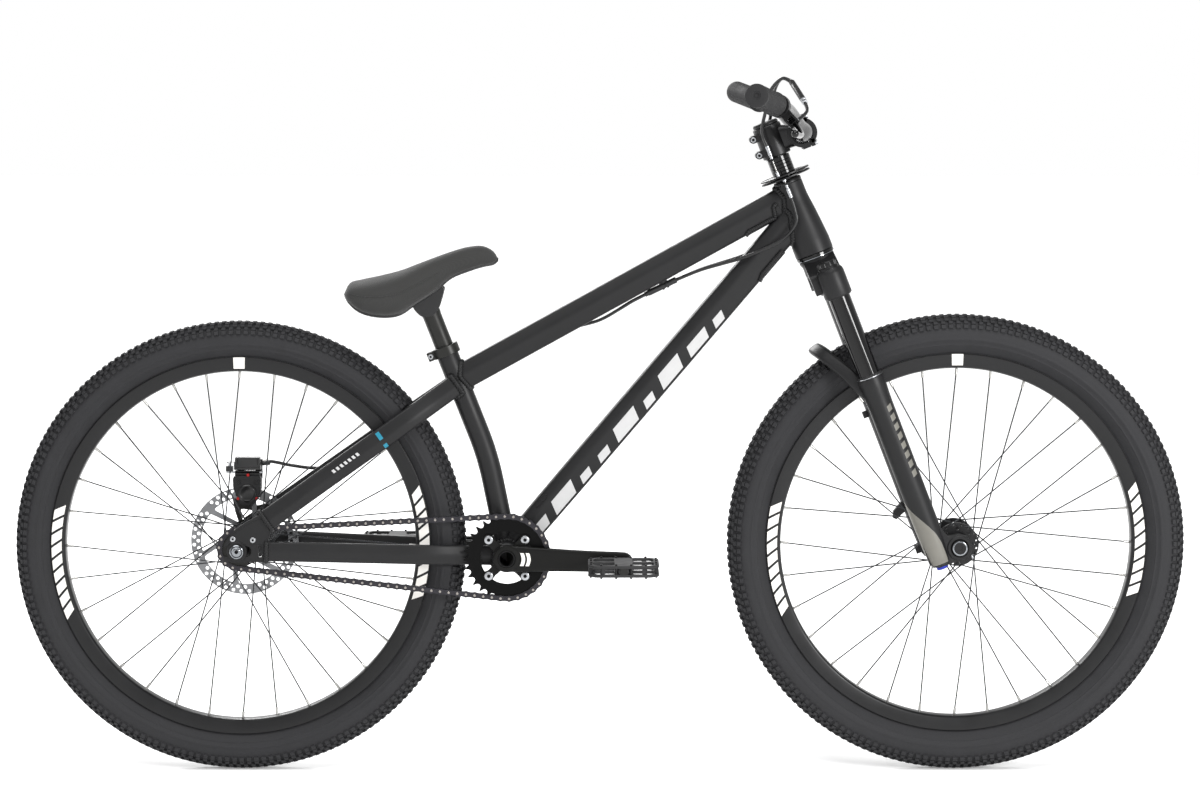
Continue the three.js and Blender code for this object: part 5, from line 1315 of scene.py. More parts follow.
class BIKE_OT_frame(bpy.types.Operator):
    """Build the frame's tubes, stays and dropouts, with their weld beads, gussets and seat clamp"""

    bl_idname = "bike.frame"
    bl_label = "Frame"

    def execute(self, context):
        settings = context.scene.bike_frame
        weld, pitch = settings.weld_size / MM, settings.weld_pitch / MM
        beads = bmesh.new()

        def painted(name, mesh, *rest, **more):
            return piece(name, mesh, "powder_coat", "frame", "matte_black_paint", *rest, **more)

        head = bmesh.new()
        hoop(head, [
            (19.2, 473), (27.6, 473), (28.5, 473.8), (28.5, 490), (28.1, 494), (26.4, 514),
            (24.2, 536), (22.2, 551), (21.2, 560), (21, 566), (21, 581.4), (20.4, 582), (19.2, 582),
        ], STEERING, 72)
        head = painted("head_tube_shell", head, ["head_tube"], 30)

        shell = bmesh.new()
        hoop(shell, mirrored([(16, -36.5), (20.4, -36.5), (21, -35.9)]), side_on(bracket), 64)
        shell = painted("bracket_shell", shell, ["bottom_bracket_shell"], 30)
        cups = bmesh.new()
        for side in (-1, 1):
            hoop(cups, [(13, 36.3), (20, 36.3), (20, 39), (18.4, 40), (18.4, 42.4), (13, 42.4)],
                 outward(bracket, side), 48)
        piece("bracket_cups", cups, "anodised", "frame", "anodised_black")

        head_tree, shell_tree = search_tree(head), search_tree(shell)
        seat = bmesh.new()
        foot = bracket + Vector((-11, 0, 57))
        path = bent_line([seat_top, seat_bend, foot, bracket.lerp(foot, 0.5)], 0.4, 8)
        down = (bracket - foot).normalized()
        round_tube, rings = circle(16, 48), []
        for i, place in enumerate(path[:-1]):
            ahead = (path[i + 1] - path[max(i - 1, 0)]).normalized()
            rings.append([place + u * Y + v * ahead.cross(Y) for u, v in round_tube])
        low = meet(shell_tree, rings[-1], down, 60)
        rings.append([p + down * 1.2 for p in low])
        # The tube's open top is bored for the post
        top_axis = (path[1] - path[0]).normalized()
        bore = [seat_top + 13.75 / 16 * (u * Y + v * top_axis.cross(Y)) for u, v in round_tube]
        loft(seat, [[p + top_axis * 40 for p in bore], bore, *rings])
        weld_loop(beads, low, down, weld, pitch)
        seat = painted("seat_tube_bent", seat, ["seat_tube"], 35)
        seat_tree = search_tree(seat)

        for name, section, start, end, tree, swell, reach in (
            ("top", TOP_TUBE, top_tube_rear, top_tube_front, search_tree(seat),
             lambda s: (0.93 + 0.07 * min(1, s * 5), 1), 100),
            ("down", DOWN_TUBE, bracket, down_tube_front, shell_tree,
             lambda s: (1.0, 1 - 0.06 * max(0, 1 - s * 6)), 90),
        ):
            made = bmesh.new()
            ends = tube(made, section, start, end, tree, head_tree, swell, reach)
            painted(f"{name}_tube_ridged", made, [f"{name}_tube"])
            for loop in ends:
                weld_loop(beads, loop, (end - start).normalized(), weld, pitch)

        for name, side in SIDES:
            made = bmesh.new()
            path = [Vector((p.x, side * p.y, p.z)) for p in stay_path(CHAINSTAY_LINE, 15)]
            rings = sweep(made, path, CHAINSTAY)
            painted(f"chainstay_bent_{name}", made, [f"chainstay_{name}"])
            weld_loop(beads, rings[-1], X, weld * 0.9, pitch)
            near = [p + (bracket - path[0]).normalized() * -3 for p in rings[0]]
            weld_loop(beads, near, X, weld, pitch)

            made = bmesh.new()
            path = [Vector((p.x, side * p.y, p.z)) for p in stay_path(SEATSTAY_LINE, 24)]
            ahead = (path[0] - path[2]).normalized()
            back = stations(path, SEATSTAY)
            start = meet(seat_tree, back[0], ahead, 25)
            loft(made, [[p + ahead * 0.8 for p in start], *back])
            painted(f"seatstay_bent_{name}", made, [f"seatstay_{name}"])
            weld_loop(beads, start, ahead, weld, pitch)
            weld_loop(beads, back[-1], X, weld * 0.9, pitch)

            made = bmesh.new()
            outline = [(-548.3, 316.3), (-485.9, 316.3), (-485.9, 338), (-481.4, 352.6), (-474, 374.3),
                       (-493.3, 386.2), (-516.3, 374.3), (-530.5, 364.5), (-540.9, 351.2), (-547.3, 339.75)]
            slot = arc(7.75, range(90, -91, -15), -515.25, 332)
            window = rounded([(-497.1, 323.2), (-492.7, 323.2), (-492.7, 342.2), (-497.1, 342.2)], 1.2, 2)
            plate(made, [*outline, *slot, (-548.3, 324.25)], side * DROPOUT_NEAR, side * DROPOUT_FAR,
                  FLAT, [window])
            # A raised rib stiffens the plate above the slot
            rib = [(-545, 343), (-488, 343), (-484, 353), (-478.5, 370), (-492.5, 380.5),
                   (-514, 370.5), (-528.5, 361), (-538.5, 350)]
            plate(made, rounded(rib, 4, 3), side * 73.3, side * 74.3, FLAT)
            block(made, (-496.4, side * 68, 324), (-493.4, side * 71, 341))
            painted(f"dropout_plate_{name}", made, [f"dropout_{name}"], bevel=0.7)

        painted("weld_beads", beads, crease=75)

        bolts, socket_shades = bmesh.new(), bmesh.new()
        for side in (-1, 1):
            for x, z in ((-534.2, 350.2), (-505.1, 348.7)):
                socket_bolt(bolts, Vector((x, side * 74.2, z)), side * Y, 3.9, 1.4, 0.5, socket_shades)
        clamp_bolt = seat_top - seat_up * 6.8 - seat_ahead * 23.6
        socket_bolt(bolts, clamp_bolt + Y * 10.5, Y, 3.6, 2.5, 0.5, socket_shades)
        socket_bolt(bolts, clamp_bolt - Y * 9.5, -Y, 4.0, 2.2, 0.5, socket_shades)
        piece("frame_bolts", bolts, "zinc", "frame", "chrome_bolt")
        # Dark discs in the bolts' sockets: painted shade for their recesses
        piece("frame_bolt_socket_shades", socket_shades, "sprocket", "frame", "anodised_black")

        clamp = bmesh.new()
        place = axes(seat_top, seat_ahead, Y, seat_up)
        hoop(clamp, [(15.8, -14), (19.6, -14), (20, -13.4), (20, -0.4), (19.4, 0.2), (15.8, 0.2)], place, 56)
        for low, high in ((-9.5, -1.2), (1.2, 10.5)):
            block(clamp, (-28, low, -13.4), (-17.5, high, -0.4), place)
        piece("clamp_collar", clamp, "forged", "frame", "forged_grey", ["seat_clamp"], bevel=0.6)

        sheets, lines = bmesh.new(), bmesh.new()
        top_back = (top_tube_rear - top_tube_front).normalized()
        down_back = (bracket - down_tube_front).normalized()
        gusset(sheets, lines, TOP_TUBE, top_tube_front + top_back * 26, top_back, 62, weld * 0.8)
        gusset(sheets, lines, DOWN_TUBE, down_tube_front + down_back * 58, down_back, 56, weld * 0.8)
        painted("gusset_sheets", sheets, crease=35)
        painted("gusset_welds", lines, crease=75)
        return {"FINISHED"}


class BIKE_OT_frame_prints(bpy.types.Operator):
    """Print plain bars on the down tube and the seatstays, and fit the down tube's oval plug"""

    bl_idname = "bike.frame_prints"
    bl_label = "Frame Prints"

    def execute(self, context):
        band = context.scene.bike_frame.band_width / MM
        grey, teal, plugs = bmesh.new(), bmesh.new(), bmesh.new()
        for side in (-1, 1):
            at = on_line(bracket, down_tube_front, DOWN_TUBE, side)
            for start, length, top in (
                (46, 30, -3), (92, 44, 2), (152, 20, -6), (192, 22, -6), (232, 46, 2),
                (296, 20, -5), (334, 44, 3), (396, 40, -2), (452, 20, -5),
            ):
                def bar(a, b, up):
                    v = -17.5 + (top + 17.5) * a
                    return at(start + length * b + 0.5 * (v + 17.5), v, up)
                patch(grey, bar, 5, 4, 0.15)

            stay = on_stay(side)
            for k in range(7):
                def dash(a, b, up):
                    v = -7.5 + 12 * a
                    return stay(0.52 + 0.02 * k + 0.011 * b + 0.0006 * (v + 7.5), v, up)
                patch(grey, dash, 5, 2, 0.15)

            def ring(a, b, up):
                v = -14.6 + 29.2 * a
                return stay(0.4 + band / 355 * b, v, up)
            patch(teal, ring, 14, 2, 0.2)

            def plug(a, b, up):
                u, v = 24 * (b - 0.5), 7 * (a - 0.5) * math.sqrt(max(0.04, 1 - (2 * b - 1) ** 4))
                return at(93 + u, 14.5 + v, up)
            patch(plugs, plug, 4, 10, 0.9)
        piece("frame_prints", grey, "grey_ink", "frame", "matte_black_paint")
        piece("stay_bands", teal, "teal_ink", "frame", "matte_black_paint")
        piece("tube_plugs", plugs, "nylon", "frame", "cable_cover")
        return {"FINISHED"}


def on_stay(side):
    """Maps (share along, height, lift) to a place on the outer side of a seatstay."""
    path = stay_path(SEATSTAY_LINE)

    def at(share, v, up):
        place = share * (len(path) - 1)
        i = min(int(place), len(path) - 2)
        point = path[i].lerp(path[i + 1], place - i)
        ahead = (path[i + 1] - path[i]).normalized()
        across = (Y - Y.dot(ahead) * ahead).normalized()
        deep = across.cross(ahead)
        spot = point + across * (side_reach(SEATSTAY, v) + up) + deep * v
        return Vector((spot.x, side * spot.y, spot.z))

    return at


class BIKE_OT_brake(bpy.types.Operator):
    """Build the disc caliper with its cover, bracket and arm"""

    bl_idname = "bike.brake"
    bl_label = "Disc Brake"

    def execute(self, context):
        body, cover, face = bmesh.new(), bmesh.new(), bmesh.new()
        # The body tapers towards the disc, and a slot lets the disc through
        shape = rounded([(-544.5, 430), (-544.5, 412), (-533, 387), (-514, 386), (-503, 408), (-502.5, 430)],
                        5, 4)
        plate(body, shape, 55.2, 64.4, FLAT)
        plate(body, shape, 39.6, 48.8, FLAT)
        block(body, (-542, 46, 416), (-505, 58, 437))
        block(body, (-512.5, 59, 424), (-502.6, 69.6, 453))
        piece("caliper_body", body, "anodised", "frame", "forged_grey", ["rear_caliper"], bevel=1.0)
        block(cover, (-543, 42, 438.7), (-503.5, 58, 451))
        block(cover, (-541.5, 41.4, 442.4), (-504.5, 58.6, 457.5))
        for x in (-538, -508.6):
            block(cover, (x, 40.7, 444.5), (x + 1.6, 59.3, 455.5))
        piece("caliper_cover", cover, "nylon", "frame", "cable_cover", bevel=0.9)
        for side, plane in ((-1, 39.6), (1, 64.4)):
            middle = Vector((-523.5, plane, 404))
            lathe(face, [(13.4, 0), (13.4, 1.4), (12.2, 2.6), (10.4, 2.9), (9.6, 2.3), (1, 2.1)],
                  along(middle, side * Y), 44)
        piece("caliper_faces", face, "nylon", "frame", "forged_grey")
        # A bright strip under the cover carries the cable's clamp at its rear end
        strip, holder = bmesh.new(), bmesh.new()
        block(strip, (-555, 46, 433.8), (-500, 58, 436.2))
        rod(strip, Vector((-550, 52, 436)), Vector((-550, 52, 449.6)), 2.2, 16, 0.5)
        piece("caliper_strip", strip, "zinc", "frame", "bright_steel", bevel=0.4)
        block(holder, (-555.5, 46, 436.4), (-545, 58, 444))
        rod(holder, Vector((-503, 64.3, 446.5)), Vector((-491, 64.3, 447.5)), 3.6, 20, 0.6)
        piece("cable_holder", holder, "nylon", "frame", "cable_cover", bevel=0.8)
        red = bmesh.new()
        for x, z in ((-537, 396.5), (-509.4, 396.5), (-522, 431.5)):
            rod(red, Vector((x, 38.6, z)), Vector((x, 44, z)), 2.3, 16, 0.5)
        piece("caliper_trim", red, "red_trim", "frame", "forged_grey")

        mount = bmesh.new()
        bracket_shape = rounded([
            (-534.5, 347), (-497, 347), (-487, 372), (-494, 388), (-512, 383), (-524, 390),
            (-541, 408), (-548.5, 402), (-544, 376)], 5, 3)
        hole = rounded([(-532, 357), (-508, 357), (-501, 371), (-520, 377), (-536, 379)], 5, 3)
        plate(mount, bracket_shape, 60.2, 67.0, FLAT, [hole])
        piece("caliper_mount", mount, "forged", "frame", "forged_grey", bevel=0.8)
        bolts = bmesh.new()
        for x, z in ((-541.5, 401), (-504, 399)):
            socket_bolt(bolts, Vector((x, 60.2, z)), -Y, 4.2, 3.4)
        for x, z in ((-536, 421), (-509.5, 421)):
            socket_bolt(bolts, Vector((x, 39.6, z)), -Y, 3.4, 1.6)
        piece("caliper_bolts", bolts, "anodised", "frame", "chrome_bolt")

        arm, clamp = bmesh.new(), bmesh.new()
        pivot, tip = Vector((-523.5, 416.8)), Vector((-539.5, 448.8))
        run = (tip - pivot).normalized()
        across = Vector((-run.y, run.x))
        outline = []
        for centre, radius, lead in ((pivot, 7.8, -1), (tip, 5.0, 1)):
            for k in range(9):
                a = math.pi * k / 8 - math.pi / 2
                out = lead * radius
                outline.append(tuple(centre + out * math.cos(a) * run + out * math.sin(a) * across))
        plate(arm, outline, 65.0, 68.6, FLAT)
        piece("caliper_lever", arm, "nipple", "caliper_arm", "forged_grey", ["caliper_arm"], bevel=0.5)
        socket_bolt(clamp, Vector((pivot.x, 68.6, pivot.y)), Y, 5.6, 2.2)
        socket_bolt(clamp, Vector((tip.x, 68.6, tip.y)), Y, 4.2, 2.6)
        piece("caliper_lever_bolts", clamp, "zinc", "caliper_arm", "chrome_bolt")
        return {"FINISHED"}


# Fork

class ForkSettings(bpy.types.PropertyGroup):
    """Sizes of the fork's details."""

    seal_height: bpy.props.FloatProperty(
        name="Seal height", description="Height of the wiper seals above the lower legs", unit="LENGTH",
        min=0.001, default=4.5 * MM)
    leg_round: bpy.props.IntProperty(
        name="Leg sides", description="Flat sides that a leg's circle is made of", min=24, default=72)


STEERING_SIDE = axes(joint_place("steering_turn"), steer_ahead, steer_up, Y)
STEERING_FACE = axes(joint_place("steering_turn"), Y, steer_up, steer_ahead)
LEG_FORWARD, LEG_APART, AXLE_FORWARD = 8.0, 65.0, 41
LEG_PROFILE = [
    (6, -14.6), (12.5, -14.6), (14.6, -13.2), (16.4, -4), (17.8, 18), (18.5, 55), (18.5, 236), (18.9, 250),
    (19.7, 262), (19.9, 276), (19.4, 278.6), (17.2, 279.4),
]


def leg_frame(side):
    return axes(on_steering(LEG_FORWARD, side * LEG_APART, 0), steer_ahead, Y, steer_up)


def on_leg(side, turn, height, lift):
    """A place on a lower leg: turn is 0 on its outer side and grows towards the front."""
    for (r, z), (q, y) in zip(LEG_PROFILE, LEG_PROFILE[1:]):
        if z <= height <= y and y > z:
            radius = r + (q - r) * (height - z) / (y - z)
    return on_steering(
        LEG_FORWARD + (radius + lift) * math.sin(turn),
        side * (LEG_APART + (radius + lift) * math.cos(turn)), height)


class BIKE_OT_fork(bpy.types.Operator):
    """Build the fork: crown, gloss tubes, lower legs with their arch, seals, feet and tabs"""

    bl_idname = "bike.fork"
    bl_label = "Fork"

    def execute(self, context):
        settings = context.scene.bike_fork
        round_count, seal = settings.leg_round, settings.seal_height / MM
        crown = bmesh.new()
        shape = [(0.22, 1), (0.55, 0.7), (1, 0.2), (1, -1), (0.74, -0.65), (0.5, -0.05), (0.3, 0.1)]
        half = [(65 * y, 440 + 25.7 * z) for y, z in shape]
        outline = rounded(half + [(-y, z) for y, z in reversed(half)], 7, 4)
        plate(crown, outline, -21.8, 25.8, STEERING_FACE)
        hoop(crown, [(14.6, 442), (22, 442), (24, 445), (24, 458), (26.5, 464), (26.5, 465.8), (14.6, 465.8)],
             STEERING, 64)
        for side in (-1, 1):
            place = leg_frame(side)
            hoop(crown, [
                (16.05, 406), (18.2, 405), (20.2, 407), (20.6, 409), (20.6, 441), (19.4, 446),
                (17.4, 448), (16.05, 448),
            ], place, round_count)
        piece("crown_forging", crown, "powder_coat", "steering", "matte_black_paint",
              ["fork_crown"], bevel=2.2)

        caps = bmesh.new()
        for name, side in SIDES:
            place = leg_frame(side)
            tube_mesh = bmesh.new()
            lathe(tube_mesh, [(14, 140), (16, 140.5), (16, 447), (14, 447.4)], place, round_count)
            piece(f"fork_tube_{name}", tube_mesh, "fork_tube", "steering", "gloss_black_tube",
                  [f"stanchion_{name}"])
            lathe(caps, [(15.6, 447), (15.6, 450.6), (14.8, 451.6), (13.2, 452), (12.9, 458.4),
                         (11.8, 459.6), (4, 459.8)], place, 48)
            for k in range(10):
                turn = TURN * k / 10
                spot = place @ Vector((12.9 * math.cos(turn), 12.9 * math.sin(turn), 452))
                rod(caps, spot, spot + steer_up * 6, 1.5, 8, 0.4)
        piece("fork_caps", caps, "anodised", "steering", "anodised_black")

        lowers, seals, rings = bmesh.new(), bmesh.new(), bmesh.new()
        for side in (-1, 1):
            place = leg_frame(side)
            lathe(lowers, LEG_PROFILE, place, round_count)
            hoop(seals, [
                (16.1, 278.5), (18.6, 278.5), (19, 279.2), (18.6, 281), (17.2, 279 + seal),
                (16.3, 279.4 + seal), (16.1, 279 + seal),
            ], place, 60)
            hoop(rings, [(18.7, 279.3), (19.5, 279.7), (19.5, 280.5), (18.6, 280.9)], place, 60)
            foot = [(-6.8, 66), (-8.6, -7.2), (2.3, -16.4), (31.5, -17.1)]
            foot += arc(19, range(-60, 91, 10), AXLE_FORWARD)
            foot += [(31, 22), (25.5, 38), (22.4, 66)]
            plate(lowers, foot, side * 55, side * 74, STEERING_SIDE, [circle(10.3, 32, AXLE_FORWARD)])
            hub = outward(on_steering(AXLE_FORWARD, 0, 0), side, steer_ahead, steer_up)
            hoop(lowers, [(12.2, 73.6), (18.2, 73.6), (18.2, 74.8), (17, 76), (13.4, 76), (12.2, 75)],
                 hub, 48)
            # The pinch lug under the axle with its slit
            for start in (33.5, 44.5):
                block(lowers, (start, -23.2, side * 58), (start + 8.2, -15, side * 71), STEERING_SIDE)
        arch = [(0, 1, 0), (.2, .93, .19), (.38, .84, .42), (.82, .5, .86), (1, 0, 1)]
        half, other = (
            [on_steering(-1.25 - 48.75 * b, side * 65 * s, 258 + 83 * z) for b, s, z in arch]
            for side in (1, -1)
        )
        path = curve_through(half[:-1] + other[::-1], 4)
        wide = steer_ahead * 0.966 + steer_up * 0.258
        sweep(lowers, path, soft_box(19, 11, 3.2, 32), wide,
              lambda s: (1 + 0.22 * abs(2 * s - 1) ** 3, 1 + 0.25 * abs(2 * s - 1) ** 3))
        # The left leg's brake tabs, and the hose guide behind it
        block(lowers, (-15.6, -5.5, 57), (-8.6, 7.5, 70), STEERING_SIDE)
        plate(lowers, [(-8.6, 61), (-8.6, 77), (-26, 67), (-30, 58), (-26, 54)], 58, 69, STEERING_SIDE)
        block(lowers, (-17, 212, 61), (-9, 222, 66), STEERING_SIDE)
        piece("fork_lower_casting", lowers, "powder_coat", "fork_slider", "matte_black_paint",
              ["fork_lowers"], bevel=1.2)
        piece("fork_seals", seals, "grip", "fork_slider", "grip_rubber")
        piece("fork_seal_rings", rings, "zinc", "fork_slider", "bright_steel")

        panels, knob, bolts = bmesh.new(), bmesh.new(), bmesh.new()
        for side in (-1, 1):
            def panel(a, b, up):
                height = -11.5 + 104 * b
                front = (44, 42, 38, 26, 4, -22, -52, -84)
                at = b * (len(front) - 1)
                i = min(int(at), len(front) - 2)
                edge = front[i] + (front[i + 1] - front[i]) * (at - i)
                return on_leg(side, math.radians(-88 + (edge + 88) * a), height, up)
            patch(panels, panel, 12, 40, 0.2)
            for k in range(8):
                def stripe(a, b, up):
                    return on_leg(side, math.radians(22 + 26 * a), 122 + 14.5 * k + 9 * b + 3 * a, up)
                patch(panels, stripe, 4, 2, 0.15)
            socket_bolt(bolts, on_steering(52.6, side * 64.5, -19.2), steer_ahead, 3.4, 2.6)
        piece("fork_panels", panels, "fork_ink", "fork_slider", "forged_grey")
        place = leg_frame(-1)
        lathe(knob, [(5, -14), (7.2, -14.4), (8.8, -15.6), (8.8, -19.2), (8, -20.4), (1, -20.4)], place, 20)
        piece("damping_knob", knob, "blue_trim", "fork_slider", "anodised_black")
        piece("fork_bolts", bolts, "zinc", "fork_slider", "chrome_bolt")
        return {"FINISHED"}


# Headset and cockpit

class CockpitSettings(bpy.types.PropertyGroup):
    """Sizes of the cockpit's details."""

    grip_rib: bpy.props.FloatProperty(
        name="Grip ribs", description="Distance from one grip rib to the next", unit="LENGTH", min=0.001,
        default=3.0 * MM)
    cable_diameter: bpy.props.FloatProperty(
        name="Cable diameter", description="Thickness of the cable covers", unit="LENGTH", min=0.002,
        default=5.0 * MM)


CLAMP_AHEAD, CLAMP_UP = 45, 644.5
CLAMP_RADIUS, BAR_RADIUS = 21.7, 16.1
BAR_BACK, BAR_HALF, BAR_RISE = 55, 368, 81.4
BAR_POINTS = [(0.115, 0, 0), (0.35, 0.495, 0.22), (1, 1, 1)]
BAR_THICK, BAR_THIN = 15.9, 11.1
STEM_BOLTS = (635.3, 659.8)
UPPER_PORT, LOWER_PORT, PORT_APART = -10, -4, 30


def bar_line(side):
    """One half of the bar: its end at the stem, its bend, and its far end."""
    return [
        on_steering(CLAMP_AHEAD - BAR_BACK * back, BAR_HALF * share * side, CLAMP_UP + BAR_RISE * rise)
        for share, rise, back in BAR_POINTS
    ]


def clamp_ring(outer, inner):
    """The section of the stem's clamp between these angles, seen from the side."""
    middle = (CLAMP_AHEAD, CLAMP_UP)
    return arc(CLAMP_RADIUS, outer, *middle) + arc(BAR_RADIUS, inner, *middle)


def lever_axes():
    """The brake lever's directions: out along the bar, down towards the blade, and the pivot's axis."""
    line, axis = bar_line(-1), -joint_axis("brake_pull")
    out = (line[2] - line[1]).normalized()
    return out, axis.cross(out).normalized(), axis


class BIKE_OT_headset(bpy.types.Operator):
    """Build the headset, the cable rotor's two plates, the spacers and the top cap"""

    bl_idname = "bike.headset"
    bl_label = "Headset and Cable Rotor"

    def execute(self, context):
        cup = bmesh.new()
        hoop(cup, [(19.4, 466.2), (26, 466.2), (26.8, 467), (26.8, 468.2), (28.4, 468.8),
                   (28.4, 472), (27.8, 472.7), (19.4, 472.7)], STEERING, 64)
        piece("lower_cup", cup, "fork_tube", "frame", "anodised_black", ["headset_lower_cup"], 30)
        line = bmesh.new()
        hoop(line, [(26.6, 466.9), (27.3, 467.1), (27.3, 467.9), (26.6, 468.1)], STEERING, 64)
        piece("lower_cup_ring", line, "chrome", "frame", "bright_steel")
        cup = bmesh.new()
        hoop(cup, [(14.6, 582.3), (21, 582.3), (21, 586), (19.8, 588.2), (14.6, 588.6)], STEERING, 56)
        for side in (-1, 1):
            block(cup, (-11, side * 19, 582.4), (3, side * 36.8, 585.2), STEERING)
        piece("upper_cup", cup, "anodised", "frame", "anodised_black", ["headset_upper_cup"], bevel=0.4)

        for name, low, x, foot, tip, radius in (
            ("lower", 590.4, LOWER_PORT, -3.2, 0.6, 2.6), ("upper", 594.9, UPPER_PORT, 2, 9.4, 2.2),
        ):
            made, ends = bmesh.new(), bmesh.new()
            hoop(made, [
                (17.4, low), (24, low), (25, low + 0.5), (35.5, low + 0.5), (36.2, low), (37.4, low + 0.4),
                (37.4, low + 2.1), (36.2, low + 2.5), (35.5, low + 2), (25, low + 2), (24, low + 2.5),
                (17.4, low + 2.5),
            ], STEERING, 72)
            for side in (-1, 1):
                y = side * PORT_APART
                rod(ends, on_steering(x, y, low + foot), on_steering(x, y, low + tip), radius, 16)
            piece(f"rotor_plate_{name}", made, "anodised", f"gyro_{name}", "anodised_black",
                  [f"gyro_{name}_plate"], 30)
            piece(f"rotor_plate_ends_{name}", ends, "zinc", f"gyro_{name}", "bright_steel")

        stack, low = bmesh.new(), 589.0
        for height in (3.5, 9.7, 5.0, 5.0, 5.0, 7.0):
            hoop(stack, [
                (14.5, low + 0.1), (16.6, low + 0.1), (17, low + 0.5), (17, low + height - 0.5),
                (16.6, low + height - 0.1), (14.5, low + height - 0.1),
            ], STEERING, 48)
            low += height
        for side in (-1, 1):
            block(stack, (-17, side * 12, 621.8), (-3, side * 36.8, 624.6), STEERING)
        piece("spacer_stack", stack, "fork_tube", "steering", "anodised_black", ["headset_spacers"], 30)
        cap = bmesh.new()
        lathe(cap, [(5, 672.2), (18.6, 672.2), (19, 672.8), (19, 675.4), (17.6, 677.4), (9, 677.9),
                    (8, 676), (2, 675.6)], STEERING, 48)
        piece("stem_cap", cap, "anodised", "steering", "anodised_black", ["stem_top_cap"])
        bolt = bmesh.new()
        socket_bolt(bolt, on_steering(0, 0, 675.4), steer_up, 4.6, 2.2)
        piece("stem_cap_bolt", bolt, "zinc", "steering", "chrome_bolt")
        return {"FINISHED"}


class BIKE_OT_cockpit(bpy.types.Operator):
    """Build the stem, its face plate, the handlebar, the grips and the brake lever"""

    bl_idname = "bike.cockpit"
    bl_label = "Cockpit"

    def execute(self, context):
        settings = context.scene.bike_cockpit
        stem = bmesh.new()
        hoop(stem, [(14.5, 625.2), (20, 625.2), (21, 626.4), (21, 670.6), (20, 671.8), (14.5, 671.8)],
             STEERING, 56)
        sections = []
        for x, wide, high, z in ((14, 33, 38, 648), (20, 35, 37, 647.6), (28, 42, 34, 645.6),
                                 (34, 48, 33, 644.8)):
            sections.append([on_steering(x, u, z + v) for u, v in soft_box(wide, high, 3.6, 40)])
        loft(stem, sections)
        plate(stem, clamp_ring(range(76, 285, 9), range(284, 71, -9)), -26, 26, STEERING_SIDE)
        for z in (624.6, 664.4):
            for side in (-1, 1):
                block(stem, (38, z - 3.8, side * 12.5), (50, z + 3.8, side * 25.8), STEERING_SIDE)
        for z in STEM_BOLTS:
            for side in (-1, 1):
                lug = axes(on_steering(-25, 0, z), steer_ahead, side * steer_up, side * Y)
                lathe(stem, [(3, 1.2), (5.5, 1.2), (5.5, 14.4), (4.9, 15), (3, 15)], lug, 24)
                block(stem, (-25, z - 5.4, side * 1.2), (-15, z + 5.4, side * 15), STEERING_SIDE)
        piece("stem_forging", stem, "anodised", "steering", "anodised_black", ["stem"], bevel=0.9)

        face, bolts, socket_shades = bmesh.new(), bmesh.new(), bmesh.new()
        for low, high in ((-26, -8), (8, 26)):
            plate(face, clamp_ring(range(-66, 67, 6), range(66, -67, -6)), low, high, STEERING_SIDE)
        for edge in (-1, 1):
            z = CLAMP_UP + edge * 16.5
            block(face, (52.2, z - 3, -26), (58, z + 3, 26), STEERING_SIDE)
            for side in (-1, 1):
                z = CLAMP_UP + edge * 20
                block(face, (51.6, z - 4, side * 12.5), (57, z + 4, side * 25.8), STEERING_SIDE)
                socket_bolt(bolts, on_steering(57, side * 19, CLAMP_UP + edge * 20.4), steer_ahead, 3.7, 4.0)
        for z in STEM_BOLTS:
            for side in (-1, 1):
                socket_bolt(bolts, on_steering(-25, side * 15, z), side * Y, 4.0, 1.8, 0.62, socket_shades)
        piece("face_plate", face, "anodised", "steering", "anodised_black", ["stem_faceplate"], bevel=0.8)
        piece("stem_bolts", bolts, "zinc", "steering", "chrome_bolt")
        # Dark discs in the bolts' sockets: painted shade for their recesses
        piece("stem_bolt_socket_shades", socket_shades, "sprocket", "steering", "anodised_black")

        bar = bmesh.new()
        right, left = bar_line(-1), bar_line(1)
        path = bent_line([right[2], right[1], right[0], left[0], left[1], left[2]], 0.3, 10)
        fine = []
        for a, b in zip(path, path[1:]):
            count = max(1, round((b - a).length / 8))
            fine += [a.lerp(b, k / count) for k in range(count)]
        fine.append(path[-1])
        middle = on_steering(CLAMP_AHEAD, 0, CLAMP_UP)

        def bar_radius(place):
            away = abs(place.y - middle.y)
            return BAR_THICK - (BAR_THICK - BAR_THIN) * eased(min(1, max(0, (away - 30) / 45)))

        last = len(fine) - 1
        sweep(bar, fine, circle(1, 32), steer_up, lambda share: (bar_radius(fine[round(share * last)]),) * 2)
        piece("riser_bar", bar, "gloss_bar", "steering", "anodised_black", ["handlebar"], 50)

        for name, side in SIDES:
            line = bar_line(side)
            out = (line[2] - line[1]).normalized()
            grip, end = bmesh.new(), line[2]
            pitch = settings.grip_rib / MM
            profile = [(11.2, -135), (15, -135), (17.4, -134), (17.4, -131), (16.2, -130)]
            for k in range(int(124 / pitch)):
                at = -129 + k * pitch
                profile += [(16.45, at + 0.3 * pitch), (16.45, at + 0.62 * pitch), (16.05, at + 0.75 * pitch),
                            (16.05, at + pitch)]
            profile += [(16.5, -3), (16.5, 1.2), (15.4, 2.6), (13, 3), (6.6, 3), (6.0, 2.2), (4.2, 2.0),
                        (3.6, 0.6), (1, 0.4)]
            lathe(grip, profile, along(end, out), 48)
            piece(f"grip_sleeve_{name}", grip, "grip", "steering", "grip_rubber", [f"grip_{name}"], 35)

        build_lever()
        return {"FINISHED"}


